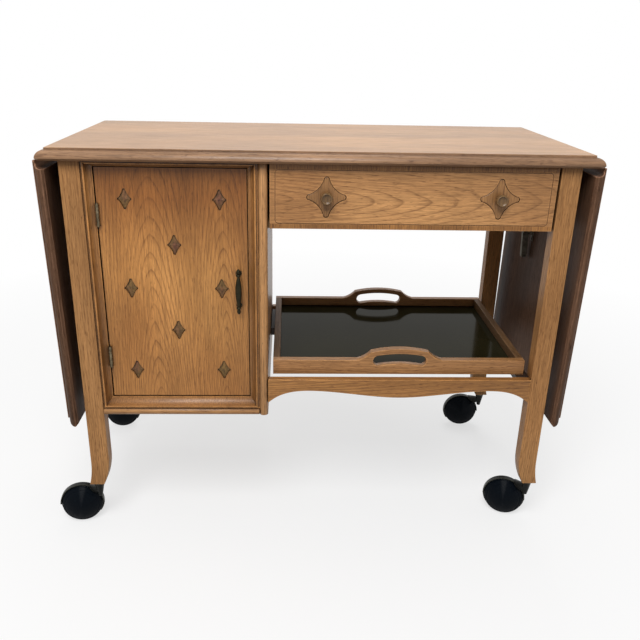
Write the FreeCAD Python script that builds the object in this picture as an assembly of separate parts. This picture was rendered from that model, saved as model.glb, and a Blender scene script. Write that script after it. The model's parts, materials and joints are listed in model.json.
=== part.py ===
import FreeCAD, Part
import math
import os

os.makedirs("parts", exist_ok=True)

# A rolling server with two drop leaves, a cupboard, a drawer and a lift-off tray.
# Millimetres, +Z up, front towards -Y. Drawn about the middle of the top, on the floor.

# Top and drop leaves
HEIGHT = 743.0          # floor to the flat of the top
TOP_HALF = 450.0        # middle of the top to a leaf's hinge pin
TOP_DEPTH = 398.0       # flat of the top, front to back
TOP_THICK = 20.0
EDGE_FILLET = 3.5       # square step above the quarter round of the edge
EDGE_ROUND = 12.5       # radius of the quarter round
EDGE_BEVEL = 4.0        # how far the edge is cut back at its underside
RULE_GAP = 0.6          # clearance all round the rule joint
HINGE_DROP = 4.0        # middle of the quarter round down to the hinge pin
LEAF_REACH = 473.0      # hinge pin to the far end of a leaf's flat face
LEAF_LEAN = 0.9         # degrees that a hanging leaf leans in

# Leaf hinges
HINGE_SPREAD = 110.0    # middle of the depth to each hinge
HINGE_LENGTH = 60.0
HINGE_TOP_REACH = 20.0  # pin to the end of the plate under the top
HINGE_LEAF_REACH = 50.0
HINGE_SHEET = 1.5
HINGE_BARREL = 3.0      # outer radius of the knuckles
HINGE_PIN = 1.5         # radius
HINGE_GROOVE = 9.0      # half-width of the groove that takes the barrel

# Folding leaf stays
STAY_Y = 46.0
STAY_DROP = 92.0        # top's flat to the pivot on the frame
STAY_REACH = 172.0      # hinge pin to the pivot on the leaf
STAY_LUG = 13.0         # pivot to the face that the bracket is screwed to
STAY_SHEET = 2.5
STAY_HALF = 6.0         # half-width of an arm
STAY_STUD = 3.0         # radius
STAY_HEAD = 4.6         # radius of the rivet heads
STAY_HEAD_RISE = 1.2
STAY_SPACE = 2.0        # between the two arms
STAY_PLATE = 36.0       # length of a bracket's plate

# Legs
LEG_INSET = 19.0        # hinge pin line to a leg's outer face
LEG_SETBACK = 3.0       # front edge of the top's flat to the legs' faces
LEG_WIDTH = 34.0
LEG_DEPTH = 26.0
FOOT_HEIGHT = 100.0     # floor to the bottom of a leg
FOOT_SWEEP_IN = 13.0    # how far the inner edge sweeps out at the foot
FOOT_SWEEP_IN_RISE = 58.0
FOOT_SWEEP_OUT = 6.5
FOOT_SWEEP_OUT_RISE = 50.0

# Cupboard and frame
CABINET_WIDTH = 304.5   # left legs' inner face to the outside of the right side
CABINET_HEIGHT = 469.0
PANEL = 16.0
SIDE_PANEL = 20.0       # left side and right apron
BACK_PANEL = 8.0
BACK_SETBACK = 6.0      # rear legs' faces to the back
APRON_HEIGHT = 118.0
STILE_DEPTH = 17.0
STILE_SHOULDER = 5.5    # depth of the rounded face of the stile
BEAD_HEIGHT = 12.5
BEAD_SHOULDER = 5.0
BEAD_PROUD = 1.5        # how far the stile and the base bead stand past the legs
SHELF_DROP = 245.0      # top of the cupboard to the shelf
SHELF_THICK = 14.0
SHELF_SETBACK = 40.0    # mouldings' back to the shelf's front
SHELF_CLEAR = 0.5
PIN_RADIUS = 3.0
PIN_DEPTH = 8.0         # how far a pin sits in its panel
PIN_REACH = 9.0         # how far a shelf pin stands out
PIN_INSET = 40.0        # shelf's ends to its pins
HOLE_CLEAR = 0.05       # round a pin in its hole

# Door mouldings
MOULD_SIDE = 17.0
MOULD_TOP = 11.0
MOULD_BASE = 20.5
MOULD_DEPTH = 28.0
MOULD_GROOVE = 3.0      # depth of the groove along the outer edge
MOULD_GROOVE_WIDTH = 3.5
MOULD_FLAT = 2.5
MOULD_RISE = 11.5       # how far the moulding falls back towards the door
MOULD_HOLLOW = (0.36, 0.64)  # middle of the hollow, as shares of its width and its fall

# Door
DOOR_THICK = 17.0
DOOR_RECESS = 13.0      # legs' faces to the door's face
DOOR_GAP = 1.6          # round the door
DOOR_HINGE_GAP = 2.0    # at the hinges
DOOR_HINGE_INSET = 80.0
DOOR_HINGE_LENGTH = 40.0
DOOR_HINGE_SHEET = 0.8
DOOR_BARREL = 2.8
DOOR_BARREL_PROUD = 3.6  # door's face to the pin
DOOR_PIN = 1.2
KNUCKLE_GAP = 0.3
LOZENGE_SHARE = 0.315   # spacing of the inlays, as a share of the door's width
LOZENGE_HALF_WIDTH = 11.1
LOZENGE_HALF_HEIGHT = 16.9
LOZENGE_BLUNT = 0.2     # half-width of a tip and depth of a side, as shares of the half sizes
LOZENGE_HOLLOW = 0.47
LOZENGE_THICK = 2.5
LOZENGE_SINK = 0.6      # face of an inlay below the door's face
INLAY_GAP = 0.8         # groove round an inlay
PULL_LENGTH = 84.0
PULL_INSET = 16.0       # door's free edge to the pull
PULL_STANDOFF = 16.0
PULL_BELLY = 5.6        # radius at the middle
PULL_POST = 2.6         # radius
PULL_EAR = 4.2          # radius of the bead at each post
PULL_NECK = 2.0         # radius at both sides of that bead
PULL_POST_SPREAD = 30.0
PULL_ROSE = 5.0         # radius of the washer under a post
PULL_ROSE_THICK = 1.6
CATCH_WIDTH = 36.0
CATCH_HEIGHT = 30.0
CATCH_DEPTH = 14.0
STRIKE_THICK = 1.5
STRIKE_WIDTH = 13.0
STRIKE_HEIGHT = 24.0

# Drawer
DRAWER_HEIGHT = 108.5
DRAWER_TOP_GAP = 2.0
DRAWER_SIDE_GAP = 3.5
DRAWER_FRONT_THICK = 18.0
DRAWER_FRONT_SETBACK = 2.0
DRAWER_BACK_GAP = 24.0  # box to the rear apron
DRAWER_BOX_INSET = 3.0  # front's ends to the box
DRAWER_BOX_RISE = 6.5   # front's lower edge to the box
DRAWER_BOX_HEIGHT = 81.0
DRAWER_SIDE = 12.0
DRAWER_BOTTOM = 5.0
DRAWER_BOTTOM_RISE = 6.0
GROOVE_DEPTH = 5.0
GROOVE_CLEAR = 0.2
RUNNER_WIDTH = 16.5
RUNNER_HEIGHT = 12.0
SLIDE_CLEAR = 0.3       # between a sliding piece and what it slides on
LINE_MARGIN = 8.5       # drawer front's edge to the cut line
LINE_WIDTH = 1.4
LINE_DEPTH = 1.0
LINE_CORNER = 5.0
ROSETTE_HALF_WIDTH = 33.0
ROSETTE_HALF_HEIGHT = 34.0
ROSETTE_BLUNT = 0.15
ROSETTE_HOLLOW = 0.42
ROSETTE_THICK = 3.0
ROSETTE_SHARE = 0.607   # middle of the front to each rosette, as a share of half the front
KNOB_RADIUS = 10.5
KNOB_FOOT = 7.0
KNOB_NECK = 5.0
KNOB_LENGTH = 17.0
KNOB_RIM = 8.0          # thickness of the head
KNOB_DISH = 3.0
KNOB_BACK_SHARE = 0.9   # back edge, face edge, slope and floor of the dish: shares of the radius
KNOB_FALL_SHARE = 0.8   # depth at the slope, as a share of the dish's depth
KNOB_FACE_SHARE = 0.8
KNOB_SLOPE_SHARE = 0.5
KNOB_FLOOR_SHARE = 0.25

# Tray, its rails and bearers
RAIL_DROP = 415.3       # top's flat to the rails' upper edge
RAIL_THICK = 14.0
RAIL_END = 48.0         # height at the ends
RAIL_ARCH = 23.5        # height at the two arches
RAIL_MIDDLE = 37.0
RAIL_ARCH_SHARE = 0.62  # middle of a rail to its arches, as a share of half its length
RAIL_BRACKET_SHARE = 0.9
TRAY_SIDE_GAP = 8.75    # cupboard or right legs to the tray
TRAY_LIFT = 1.3         # rails' upper edge to the tray's underside
TRAY_FRONT_GAP = 8.0    # front rail to the tray
TRAY_BACK_GAP = 10.0    # rear rail to the tray
TRAY_BOARD = 14.0       # front and rear boards
TRAY_SIDE = 13.0
TRAY_RIM = 28.5
TRAY_BOTTOM = 5.0
TRAY_BOTTOM_RISE = 5.0
HUMP_HALF = 80.0        # handle: half its length along the rim
HUMP_SHOULDER = 54.0
HUMP_SHOULDER_RISE = 16.0
HUMP_RISE = 22.5
HUMP_FLARE_SHARE = 0.32  # height of the hollow below a shoulder, as a share of its rise
HOLE_HALF = 50.0        # handle hole
HOLE_END = 42.0         # middle to where its ends start to round
HOLE_TOP = 13.0         # above the rim
HOLE_SHOULDER = 9.0
HOLE_FOOT = 12.0        # below the rim
HOLE_MIDDLE = 8.0
BEARER_WIDTH = 24.0
BEARER_HEIGHT = 12.0
CLEAT_WIDTH = 22.0
CLEAT_HEIGHT = 16.0
CLEAT_START = 46.0
CLEAT_LENGTH = 114.0

# Ball casters
STEM_OUT = 26.0         # legs' inner face to the stem
STEM_RADIUS = 3.9
STEM_LENGTH = 30.0
SLEEVE_RADIUS = 5.5
SLEEVE_LENGTH = 34.0
FLANGE_RADIUS = 10.0
FLANGE_THICK = 2.5
STEM_CLEAR = 0.05
CASTER_TRAIL = 40.0     # stem to the ball's middle, across the cart
CASTER_BACK = 18.0      # stem to the ball's middle, towards the back
CASTER_TURNS = {        # degrees that each caster has swivelled from there
    "front_left": 7.0,
    "front_right": -20.0,
    "rear_left": 8.0,
    "rear_right": -4.0,
}
WHEEL_TILT = 2.0        # degrees that the axle points up
WHEEL_DOME = 37.7       # radius at the dome's rim
WHEEL_DOME_EDGE = 4.0   # dome's rim, along the axle from the ball's middle
WHEEL_DOME_TOP = 20.0   # dome's middle, along the axle
TYRE_FRONT = 3.0        # the tyre's bead, along the axle
TYRE_BACK = -6.0
TYRE_SEAT = 36.6        # radius at the bead's two edges
TYRE_CROWN = 2.7        # height of the bead
HUB_RADIUS = 9.0
HUB_BACK = -8.0
AXLE_RADIUS = 4.0
AXLE_END = 11.0
AXLE_CLEAR = 0.05
HOOD_CLEAR = 1.0        # tyre to the inside of the hood
HOOD_WALL = 1.8
HOOD_EDGE = 2.0         # hood's rim, along the axle
HOOD_SHOULDER = 8.0     # ball's middle back to where the hood starts to close
HOOD_DEPTH = 28.0       # ball's middle to the back of the hood
HOOD_FRONT_CUT = -7.0   # lower half of the rim is cut back to here
HOOD_SKIRT = 26.0       # ball's middle down to the hood's lower edge
BOSS_RADIUS = 9.6       # at the top
BOSS_BOTTOM = 28.0      # ball's middle up to the bottom of the boss
BOSS_TIP = 4.0          # radius at the bottom
NECK_BASE = 11.0        # radius of the neck where it leaves the hood
NECK_END = 7.0          # radius where it meets the boss
NECK_OUT = 20.0         # ball's middle to the start of the neck, across the cart
NECK_BACK = 6.0         # ball's middle to the start of the neck, towards the back
NECK_RISE = 28.0
SWIVEL_GAP = 0.5        # boss to flange

# Places worked out from the sizes above
TOUCH = 1e-6            # points closer than this are the same point
ORIGIN = FreeCAD.Vector(0, 0, 0)
X = FreeCAD.Vector(1, 0, 0)
Y = FreeCAD.Vector(0, 1, 0)
Z = FreeCAD.Vector(0, 0, 1)
NOSE_DROP = EDGE_FILLET + EDGE_ROUND
PIN_DROP = NOSE_DROP + HINGE_DROP
UNDER = TOP_THICK - PIN_DROP
TOP_UNDER = HEIGHT - TOP_THICK
LEAF_PIN = FreeCAD.Vector(TOP_HALF, 0, HEIGHT - PIN_DROP)
LEAF_HANG = 90 + LEAF_LEAN
LEG_OUT = TOP_HALF - LEG_INSET
LEG_IN = LEG_OUT - LEG_WIDTH
FACE_Y = -TOP_DEPTH / 2 + LEG_SETBACK
LEG_BACK_Y = FACE_Y + LEG_DEPTH
BACK_Y = -FACE_Y
CAB_LEFT = -LEG_IN
CAB_RIGHT = CAB_LEFT + CABINET_WIDTH
CAB_INNER = CAB_RIGHT - PANEL
CAB_BOTTOM = TOP_UNDER - CABINET_HEIGHT
BACK_OUT = BACK_Y - BACK_SETBACK
BACK_IN = BACK_OUT - BACK_PANEL
BEAD_Y = FACE_Y - BEAD_PROUD
MOULD_BACK = FACE_Y + MOULD_DEPTH
STILE_BACK = BEAD_Y + STILE_DEPTH
SIDE_OUT = LEG_IN + SIDE_PANEL
APRON_BOTTOM = TOP_UNDER - APRON_HEIGHT
BAY_MIDDLE = (CAB_RIGHT + LEG_IN) / 2
DOOR_LEFT = CAB_LEFT + MOULD_SIDE + DOOR_HINGE_GAP
DOOR_RIGHT = CAB_INNER - MOULD_SIDE - DOOR_GAP
DOOR_BOTTOM = CAB_BOTTOM + BEAD_HEIGHT + MOULD_BASE + DOOR_GAP
DOOR_TOP = TOP_UNDER - MOULD_TOP - DOOR_GAP
DOOR_Y = FACE_Y + DOOR_RECESS
DOOR_MIDDLE = FreeCAD.Vector((DOOR_LEFT + DOOR_RIGHT) / 2, DOOR_Y, (DOOR_BOTTOM + DOOR_TOP) / 2)
DOOR_PIN_AT = FreeCAD.Vector(DOOR_LEFT + DOOR_HINGE_SHEET, DOOR_Y - DOOR_BARREL_PROUD, 0)
DRAWER_Y = FACE_Y + DRAWER_FRONT_SETBACK
DRAWER_BOX_Y = DRAWER_Y + DRAWER_FRONT_THICK
DRAWER_TOP = TOP_UNDER - DRAWER_TOP_GAP
DRAWER_LOW = DRAWER_TOP - DRAWER_HEIGHT
DRAWER_LEFT = CAB_RIGHT + DRAWER_SIDE_GAP
DRAWER_RIGHT = LEG_IN - DRAWER_SIDE_GAP
BOX_LEFT = DRAWER_LEFT + DRAWER_BOX_INSET
BOX_RIGHT = DRAWER_RIGHT - DRAWER_BOX_INSET
BOX_LOW = DRAWER_LOW + DRAWER_BOX_RISE
BOX_TOP = BOX_LOW + DRAWER_BOX_HEIGHT
BOX_BACK = BACK_OUT - PANEL - DRAWER_BACK_GAP
RAIL_TOP = HEIGHT - RAIL_DROP
TRAY_LEFT = CAB_RIGHT + TRAY_SIDE_GAP
TRAY_RIGHT = LEG_IN - TRAY_SIDE_GAP
TRAY_FRONT = FACE_Y + RAIL_THICK + TRAY_FRONT_GAP
TRAY_BACK = BACK_Y - RAIL_THICK - TRAY_BACK_GAP
TRAY_LOW = RAIL_TOP + TRAY_LIFT
TRAY_TOP = TRAY_LOW + TRAY_RIM
BEARER_TOP = TRAY_LOW - SLIDE_CLEAR
SHELF_LOW = TOP_UNDER - SHELF_DROP
TILT = math.radians(WHEEL_TILT)
TYRE_HALF = (TYRE_FRONT - TYRE_BACK) / 2
TYRE_RADIUS = (TYRE_HALF ** 2 + TYRE_CROWN ** 2) / (2 * TYRE_CROWN)
TYRE_MIDDLE = (TYRE_FRONT + TYRE_BACK) / 2
TYRE_OUT = TYRE_SEAT + TYRE_CROWN
BALL_Z = (TYRE_OUT - TYRE_RADIUS) * math.cos(TILT) + TYRE_RADIUS - TYRE_MIDDLE * math.sin(TILT)
HOOD_IN = TYRE_OUT + HOOD_CLEAR
HOOD_OUT = HOOD_IN + HOOD_WALL
STEM_X = LEG_IN + STEM_OUT
STEM_Y = BACK_Y - LEG_DEPTH / 2


def box(x0, x1, y0, y1, z0, z1):
    """Box between two corners."""
    return Part.makeBox(x1 - x0, y1 - y0, z1 - z0, FreeCAD.Vector(x0, y0, z0))


def rod(start, direction, radius, length):
    """Round bar from a point along a direction."""
    return Part.makeCylinder(radius, length, start, direction)


def join(first, *others):
    """One solid from pieces that overlap."""
    return first.fuse(list(others)).removeSplitter()


def mirrored(shape):
    """The same piece at the other end of the cart."""
    return shape.mirror(ORIGIN, X)


def outline(start, *steps):
    """Closed face from a start; a step is a point, or a pair (through, end) for an arc."""
    edges = []
    here = start
    for step in steps:
        if isinstance(step, tuple):
            through, end = step
            edges.append(Part.Arc(here, through, end).toShape())
        else:
            end = step
            edges.append(Part.LineSegment(here, end).toShape())
        here = end
    if not here.isEqual(start, TOUCH):
        edges.append(Part.LineSegment(here, start).toShape())
    return Part.Face(Part.Wire(edges))


def across(u, v):
    """Point of a section that faces the front."""
    return FreeCAD.Vector(u, 0, v)


def endways(u, v):
    """Point of a section that faces the ends."""
    return FreeCAD.Vector(0, u, v)


def extruded(face, direction, start, end):
    """Face pushed along a direction from start to end."""
    moved = face.translated(direction * start)
    return moved.extrude(direction * (end - start))


def nosed(point, half, top):
    """Section of a board with the moulded edge at both ends, its flat face at a height of top."""
    slope = EDGE_ROUND * math.sqrt(0.5)
    out = half + EDGE_ROUND
    nose = top - NOSE_DROP
    low = top - TOP_THICK
    return outline(
        point(-half, top),
        point(half, top),
        point(half, top - EDGE_FILLET),
        (point(half + slope, nose + slope), point(out, nose)),
        point(out - EDGE_BEVEL, low),
        point(-out + EDGE_BEVEL, low),
        point(-out, nose),
        (point(-half - slope, nose + slope), point(-half, top - EDGE_FILLET)),
    )


# Top and leaves

def hinge_places():
    """Front end of each leaf hinge along the depth."""
    return [side * HINGE_SPREAD - HINGE_LENGTH / 2 for side in (-1, 1)]


def top_panel():
    """Top with its moulded edge, and grooves under it for the hinge barrels."""
    half_width = TOP_HALF + EDGE_ROUND
    half_depth = TOP_DEPTH / 2 + EDGE_ROUND
    long_way = extruded(nosed(across, TOP_HALF, HEIGHT), Y, -half_depth, half_depth)
    short_way = extruded(nosed(endways, TOP_DEPTH / 2, HEIGHT), X, -half_width, half_width)
    board = long_way.common(short_way)
    groove_top = LEAF_PIN.z + HINGE_BARREL + RULE_GAP
    for start in hinge_places():
        groove = box(TOP_HALF - HINGE_GROOVE, TOP_HALF + HINGE_GROOVE, start - RULE_GAP,
                     start + HINGE_LENGTH + RULE_GAP, TOP_UNDER, groove_top)
        board = board.cut(groove).cut(mirrored(groove))
    return board


def hung(shape):
    """Piece of the right leaf, drawn level about the hinge pin, turned down and put in place."""
    turned = shape.copy()
    turned.rotate(ORIGIN, Y, LEAF_HANG)
    turned.translate(LEAF_PIN)
    return turned


def leaf():
    """Right leaf, level about its pin: hollow edge at the rule joint, moulded edges elsewhere."""
    cove = EDGE_ROUND + RULE_GAP
    cove_end = math.sqrt(cove ** 2 - RULE_GAP ** 2)
    slope = EDGE_ROUND * math.sqrt(0.5)
    hollow = cove * math.sqrt(0.5)
    out = LEAF_REACH + EDGE_ROUND
    section = outline(
        across(RULE_GAP, PIN_DROP),
        across(LEAF_REACH, PIN_DROP),
        across(LEAF_REACH, PIN_DROP - EDGE_FILLET),
        (across(LEAF_REACH + slope, HINGE_DROP + slope), across(out, HINGE_DROP)),
        across(out - EDGE_BEVEL, -UNDER),
        across(cove, -UNDER),
        across(cove, HINGE_DROP),
        (across(hollow, HINGE_DROP + hollow), across(RULE_GAP, HINGE_DROP + cove_end)),
    )
    half_depth = TOP_DEPTH / 2 + EDGE_ROUND
    length = extruded(section, Y, -half_depth, half_depth)
    width = extruded(nosed(endways, TOP_DEPTH / 2, PIN_DROP), X, 0, out)
    return length.common(width)


def knuckles(start):
    """Ends along the depth of a leaf hinge's three knuckles, the middle one on the leaf."""
    third = HINGE_LENGTH / 3
    first = (start, start + third - KNUCKLE_GAP)
    middle = (start + third, start + 2 * third)
    last = (start + 2 * third + KNUCKLE_GAP, start + HINGE_LENGTH)
    return first, middle, last


def hinge_top_plate(start):
    """Plate under the top, with the two outer knuckles, drawn about the pin."""
    first, middle, last = knuckles(start)
    plate = box(-HINGE_TOP_REACH, -HINGE_GROOVE, start, start + HINGE_LENGTH, -UNDER - HINGE_SHEET, -UNDER)
    pieces = []
    for low, high in (first, last):
        pieces.append(rod(FreeCAD.Vector(0, low, 0), Y, HINGE_BARREL, high - low))
        pieces.append(box(-HINGE_BARREL, -HINGE_PIN, low, high, -UNDER - HINGE_SHEET, 0))
        pieces.append(box(-HINGE_GROOVE, -HINGE_PIN, low, high, -UNDER - HINGE_SHEET, -UNDER))
    bore = rod(FreeCAD.Vector(0, start, 0), Y, HINGE_PIN + HOLE_CLEAR, HINGE_LENGTH)
    return join(plate, *pieces).cut(bore)


def hinge_leaf_plate(start):
    """Plate under the leaf, with the middle knuckle, drawn level about the pin."""
    low, high = knuckles(start)[1]
    inner = EDGE_ROUND + EDGE_BEVEL
    plate = box(inner, HINGE_LEAF_REACH, start, start + HINGE_LENGTH, -UNDER - HINGE_SHEET, -UNDER)
    tongue = box(HINGE_PIN, inner, low, high, -UNDER - HINGE_SHEET, -UNDER)
    web = box(HINGE_PIN, HINGE_BARREL, low, high, -UNDER - HINGE_SHEET, 0)
    barrel = rod(FreeCAD.Vector(0, low, 0), Y, HINGE_BARREL, high - low)
    bore = rod(FreeCAD.Vector(0, start, 0), Y, HINGE_PIN + HOLE_CLEAR, HINGE_LENGTH)
    return join(plate, tongue, web, barrel).cut(bore)


def hinge_pin(start):
    """Pin of one leaf hinge, about the pin line."""
    return rod(FreeCAD.Vector(0, start, 0), Y, HINGE_PIN, HINGE_LENGTH)


# Folding stays of the leaves. The frame arm and the leaf arm meet at the knee.

def leaf_point(along, off, degrees):
    """Point of the right leaf, along and off its pin, with the leaf turned down."""
    turn = math.radians(degrees)
    x = along * math.cos(turn) + off * math.sin(turn)
    z = off * math.cos(turn) - along * math.sin(turn)
    return LEAF_PIN + FreeCAD.Vector(x, 0, z)


STAY_OFF = -UNDER - STAY_LUG
STAY_FRAME = FreeCAD.Vector(SIDE_OUT + STAY_LUG, 0, HEIGHT - STAY_DROP)
STAY_LEAF = leaf_point(STAY_REACH, STAY_OFF, LEAF_HANG)
STAY_LEAF_UP = leaf_point(STAY_REACH, STAY_OFF, 0)
STAY_FOLDED = STAY_LEAF - STAY_FRAME
STAY_OPEN = STAY_LEAF_UP - STAY_FRAME
FRAME_ARM = (STAY_OPEN.Length + STAY_FOLDED.Length) / 2
STAY_KNEE = STAY_FRAME + STAY_FOLDED * (FRAME_ARM / STAY_FOLDED.Length)
ARM_FRONT = STAY_Y
LEAF_ARM_BACK = STAY_Y - STAY_SPACE
LEAF_ARM_FRONT = LEAF_ARM_BACK - STAY_SHEET
LUG_BACK = LEAF_ARM_FRONT - SLIDE_CLEAR
LUG_FRONT = LUG_BACK - STAY_SHEET


def strip(start, end, y0, y1):
    """Flat bar with round ends between two points, standing on edge."""
    along = (end - start).normalize()
    side = Y.cross(along) * STAY_HALF
    tip = along * STAY_HALF
    face = outline(start + side, end + side, (end + tip, end - side), start - side,
                   (start - tip, start + side))
    return extruded(face, Y, y0, y1)


def at(point, y):
    """Point moved to a depth."""
    return FreeCAD.Vector(point.x, y, point.z)


def frame_bracket():
    """Bracket on the frame: plate, lug and the stud that the frame arm turns on."""
    half = STAY_PLATE / 2
    plate = box(SIDE_OUT, SIDE_OUT + HINGE_SHEET, STAY_Y - half, STAY_Y + half,
                STAY_FRAME.z - STAY_HALF, STAY_FRAME.z + STAY_HALF)
    foot = FreeCAD.Vector(SIDE_OUT + STAY_HALF + HINGE_SHEET, 0, STAY_FRAME.z)
    lug = strip(foot, STAY_FRAME, LEAF_ARM_FRONT, LEAF_ARM_BACK)
    root = box(SIDE_OUT, foot.x, LEAF_ARM_FRONT, LEAF_ARM_BACK, STAY_FRAME.z - STAY_HALF,
               STAY_FRAME.z + STAY_HALF)
    collar = rod(at(STAY_FRAME, LEAF_ARM_FRONT), Y, STAY_HEAD, STAY_SHEET + STAY_SPACE - SLIDE_CLEAR)
    arm_back = ARM_FRONT + STAY_SHEET + SLIDE_CLEAR
    stud = rod(at(STAY_FRAME, LEAF_ARM_FRONT), Y, STAY_STUD, arm_back - LEAF_ARM_FRONT)
    head = rod(at(STAY_FRAME, arm_back), Y, STAY_HEAD, STAY_HEAD_RISE)
    return join(plate, lug, root, collar, stud, head)


def frame_arm():
    """Long arm, from the frame to the knee, with the knee's rivet."""
    arm_back = ARM_FRONT + STAY_SHEET
    arm = strip(STAY_FRAME, STAY_KNEE, ARM_FRONT, arm_back)
    bore = rod(at(STAY_FRAME, ARM_FRONT), Y, STAY_STUD + HOLE_CLEAR, STAY_SHEET)
    knee_front = LEAF_ARM_BACK + SLIDE_CLEAR
    rivet = rod(at(STAY_KNEE, knee_front), Y, STAY_STUD, arm_back - knee_front)
    head = rod(at(STAY_KNEE, arm_back), Y, STAY_HEAD, STAY_HEAD_RISE)
    return join(arm.cut(bore), rivet, head)


def leaf_arm():
    """Short arm, from the leaf to the knee."""
    arm = strip(STAY_LEAF, STAY_KNEE, LEAF_ARM_FRONT, LEAF_ARM_BACK)
    bore = rod(at(STAY_LEAF, LEAF_ARM_FRONT), Y, STAY_STUD + HOLE_CLEAR, STAY_SHEET)
    head = rod(at(STAY_KNEE, LEAF_ARM_FRONT - STAY_HEAD_RISE), Y, STAY_HEAD, STAY_HEAD_RISE)
    return join(arm.cut(bore), head)


def leaf_bracket():
    """Bracket under the leaf, drawn level about the hinge pin, with the leaf arm's stud."""
    half = STAY_PLATE / 2
    low = -UNDER - HINGE_SHEET
    pivot = FreeCAD.Vector(STAY_REACH, 0, STAY_OFF)
    plate = box(STAY_REACH - half, STAY_REACH + half, LUG_FRONT - half / 2, LUG_BACK, low, -UNDER)
    root = FreeCAD.Vector(STAY_REACH, 0, low - STAY_HALF)
    lug = strip(root, pivot, LUG_FRONT, LUG_BACK)
    foot = box(STAY_REACH - STAY_HALF, STAY_REACH + STAY_HALF, LUG_FRONT, LUG_BACK, root.z, -UNDER)
    arm_back = LEAF_ARM_BACK + SLIDE_CLEAR
    stud = rod(at(pivot, LUG_FRONT), Y, STAY_STUD, arm_back - LUG_FRONT)
    head = rod(at(pivot, arm_back), Y, STAY_HEAD, STAY_HEAD_RISE)
    return join(plate, lug, foot, stud, head)


# Legs, aprons and rails

def swept(x, z, out, drop):
    """Arc that leaves a leg's upright edge and sweeps out towards the floor."""
    radius = (out ** 2 + drop ** 2) / (2 * out)
    half = math.asin(drop / radius) / 2
    through = across(x + radius * (1 - math.cos(half)), z - radius * math.sin(half))
    return through, across(x + out, z - drop)


def leg(front):
    """Right leg with a swept foot and a hole up the foot for the caster's sleeve."""
    inner_start = FOOT_HEIGHT + FOOT_SWEEP_IN_RISE
    outer_start = FOOT_HEIGHT + FOOT_SWEEP_OUT_RISE
    inner_foot = swept(LEG_IN, inner_start, FOOT_SWEEP_IN, FOOT_SWEEP_IN_RISE)
    outer_through, outer_end = swept(LEG_OUT, outer_start, FOOT_SWEEP_OUT, FOOT_SWEEP_OUT_RISE)
    face = outline(
        across(LEG_OUT, TOP_UNDER),
        across(LEG_IN, TOP_UNDER),
        across(LEG_IN, inner_start),
        inner_foot,
        outer_end,
        (outer_through, across(LEG_OUT, outer_start)),
    )
    start = FACE_Y if front else BACK_Y - LEG_DEPTH
    bar = extruded(face, Y, start, start + LEG_DEPTH)
    hole = rod(FreeCAD.Vector(STEM_X, start + LEG_DEPTH / 2, FOOT_HEIGHT), Z,
               SLEEVE_RADIUS + HOLE_CLEAR, SLEEVE_LENGTH + HOLE_CLEAR)
    return bar.cut(hole)


def right_apron():
    """Side rail under the top, between the right legs."""
    return box(LEG_IN, SIDE_OUT, LEG_BACK_Y, -LEG_BACK_Y, APRON_BOTTOM, TOP_UNDER)


def rear_apron():
    """Rail under the top, behind the drawer."""
    return box(CAB_RIGHT, LEG_IN, BACK_OUT - PANEL, BACK_OUT, APRON_BOTTOM, TOP_UNDER)


def shaped_rail(start):
    """Rail with two low arches and a dropped middle."""
    half = (LEG_IN - CAB_RIGHT) / 2
    arch = half * RAIL_ARCH_SHARE
    bracket = half * RAIL_BRACKET_SHARE
    curve = Part.BSplineCurve()
    curve.interpolate([
        across(BAY_MIDDLE - half, RAIL_TOP - RAIL_END),
        across(BAY_MIDDLE - bracket, RAIL_TOP - (RAIL_END + 2 * RAIL_ARCH) / 3),
        across(BAY_MIDDLE - arch, RAIL_TOP - RAIL_ARCH),
        across(BAY_MIDDLE, RAIL_TOP - RAIL_MIDDLE),
        across(BAY_MIDDLE + arch, RAIL_TOP - RAIL_ARCH),
        across(BAY_MIDDLE + bracket, RAIL_TOP - (RAIL_END + 2 * RAIL_ARCH) / 3),
        across(BAY_MIDDLE + half, RAIL_TOP - RAIL_END),
    ])
    corners = [curve.EndPoint, across(LEG_IN, RAIL_TOP), across(CAB_RIGHT, RAIL_TOP), curve.StartPoint]
    edges = [curve.toShape()]
    for first, second in zip(corners, corners[1:]):
        edges.append(Part.LineSegment(first, second).toShape())
    return extruded(Part.Face(Part.Wire(edges)), Y, start, start + RAIL_THICK)


def tray_bearers():
    """Bearer along the right legs and a cleat on the cupboard, under the tray."""
    bearer = box(LEG_IN - BEARER_WIDTH, LEG_IN, FACE_Y + RAIL_THICK, BACK_Y - RAIL_THICK,
                 BEARER_TOP - BEARER_HEIGHT, BEARER_TOP)
    cleat = box(CAB_RIGHT, CAB_RIGHT + CLEAT_WIDTH, CLEAT_START, CLEAT_START + CLEAT_LENGTH,
                BEARER_TOP - CLEAT_HEIGHT, BEARER_TOP)
    return [bearer, cleat]


def drawer_runners():
    """Runners for the drawer, on the cupboard and on the right apron."""
    top = BOX_LOW - SLIDE_CLEAR
    left = box(CAB_RIGHT, CAB_RIGHT + RUNNER_WIDTH, LEG_BACK_Y, -LEG_BACK_Y, top - RUNNER_HEIGHT, top)
    right = box(LEG_IN - RUNNER_WIDTH, LEG_IN, LEG_BACK_Y, -LEG_BACK_Y, top - RUNNER_HEIGHT, top)
    return [left, right]


# Cupboard

def pin_spots():
    """Start and direction of each shelf pin's hole."""
    shelf_front = MOULD_BACK + SHELF_SETBACK
    shelf_pin_z = SHELF_LOW - PIN_RADIUS - HOLE_CLEAR
    spots = []
    for y in (shelf_front + PIN_INSET, BACK_IN - PIN_INSET):
        spots.append((FreeCAD.Vector(CAB_LEFT - PIN_DEPTH, y, shelf_pin_z), X))
        spots.append((FreeCAD.Vector(CAB_INNER + PIN_DEPTH, y, shelf_pin_z), -X))
    return spots


def support_pins():
    """Round pins under the shelf."""
    return [rod(spot, way, PIN_RADIUS, PIN_DEPTH + PIN_REACH) for spot, way in pin_spots()]


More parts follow.
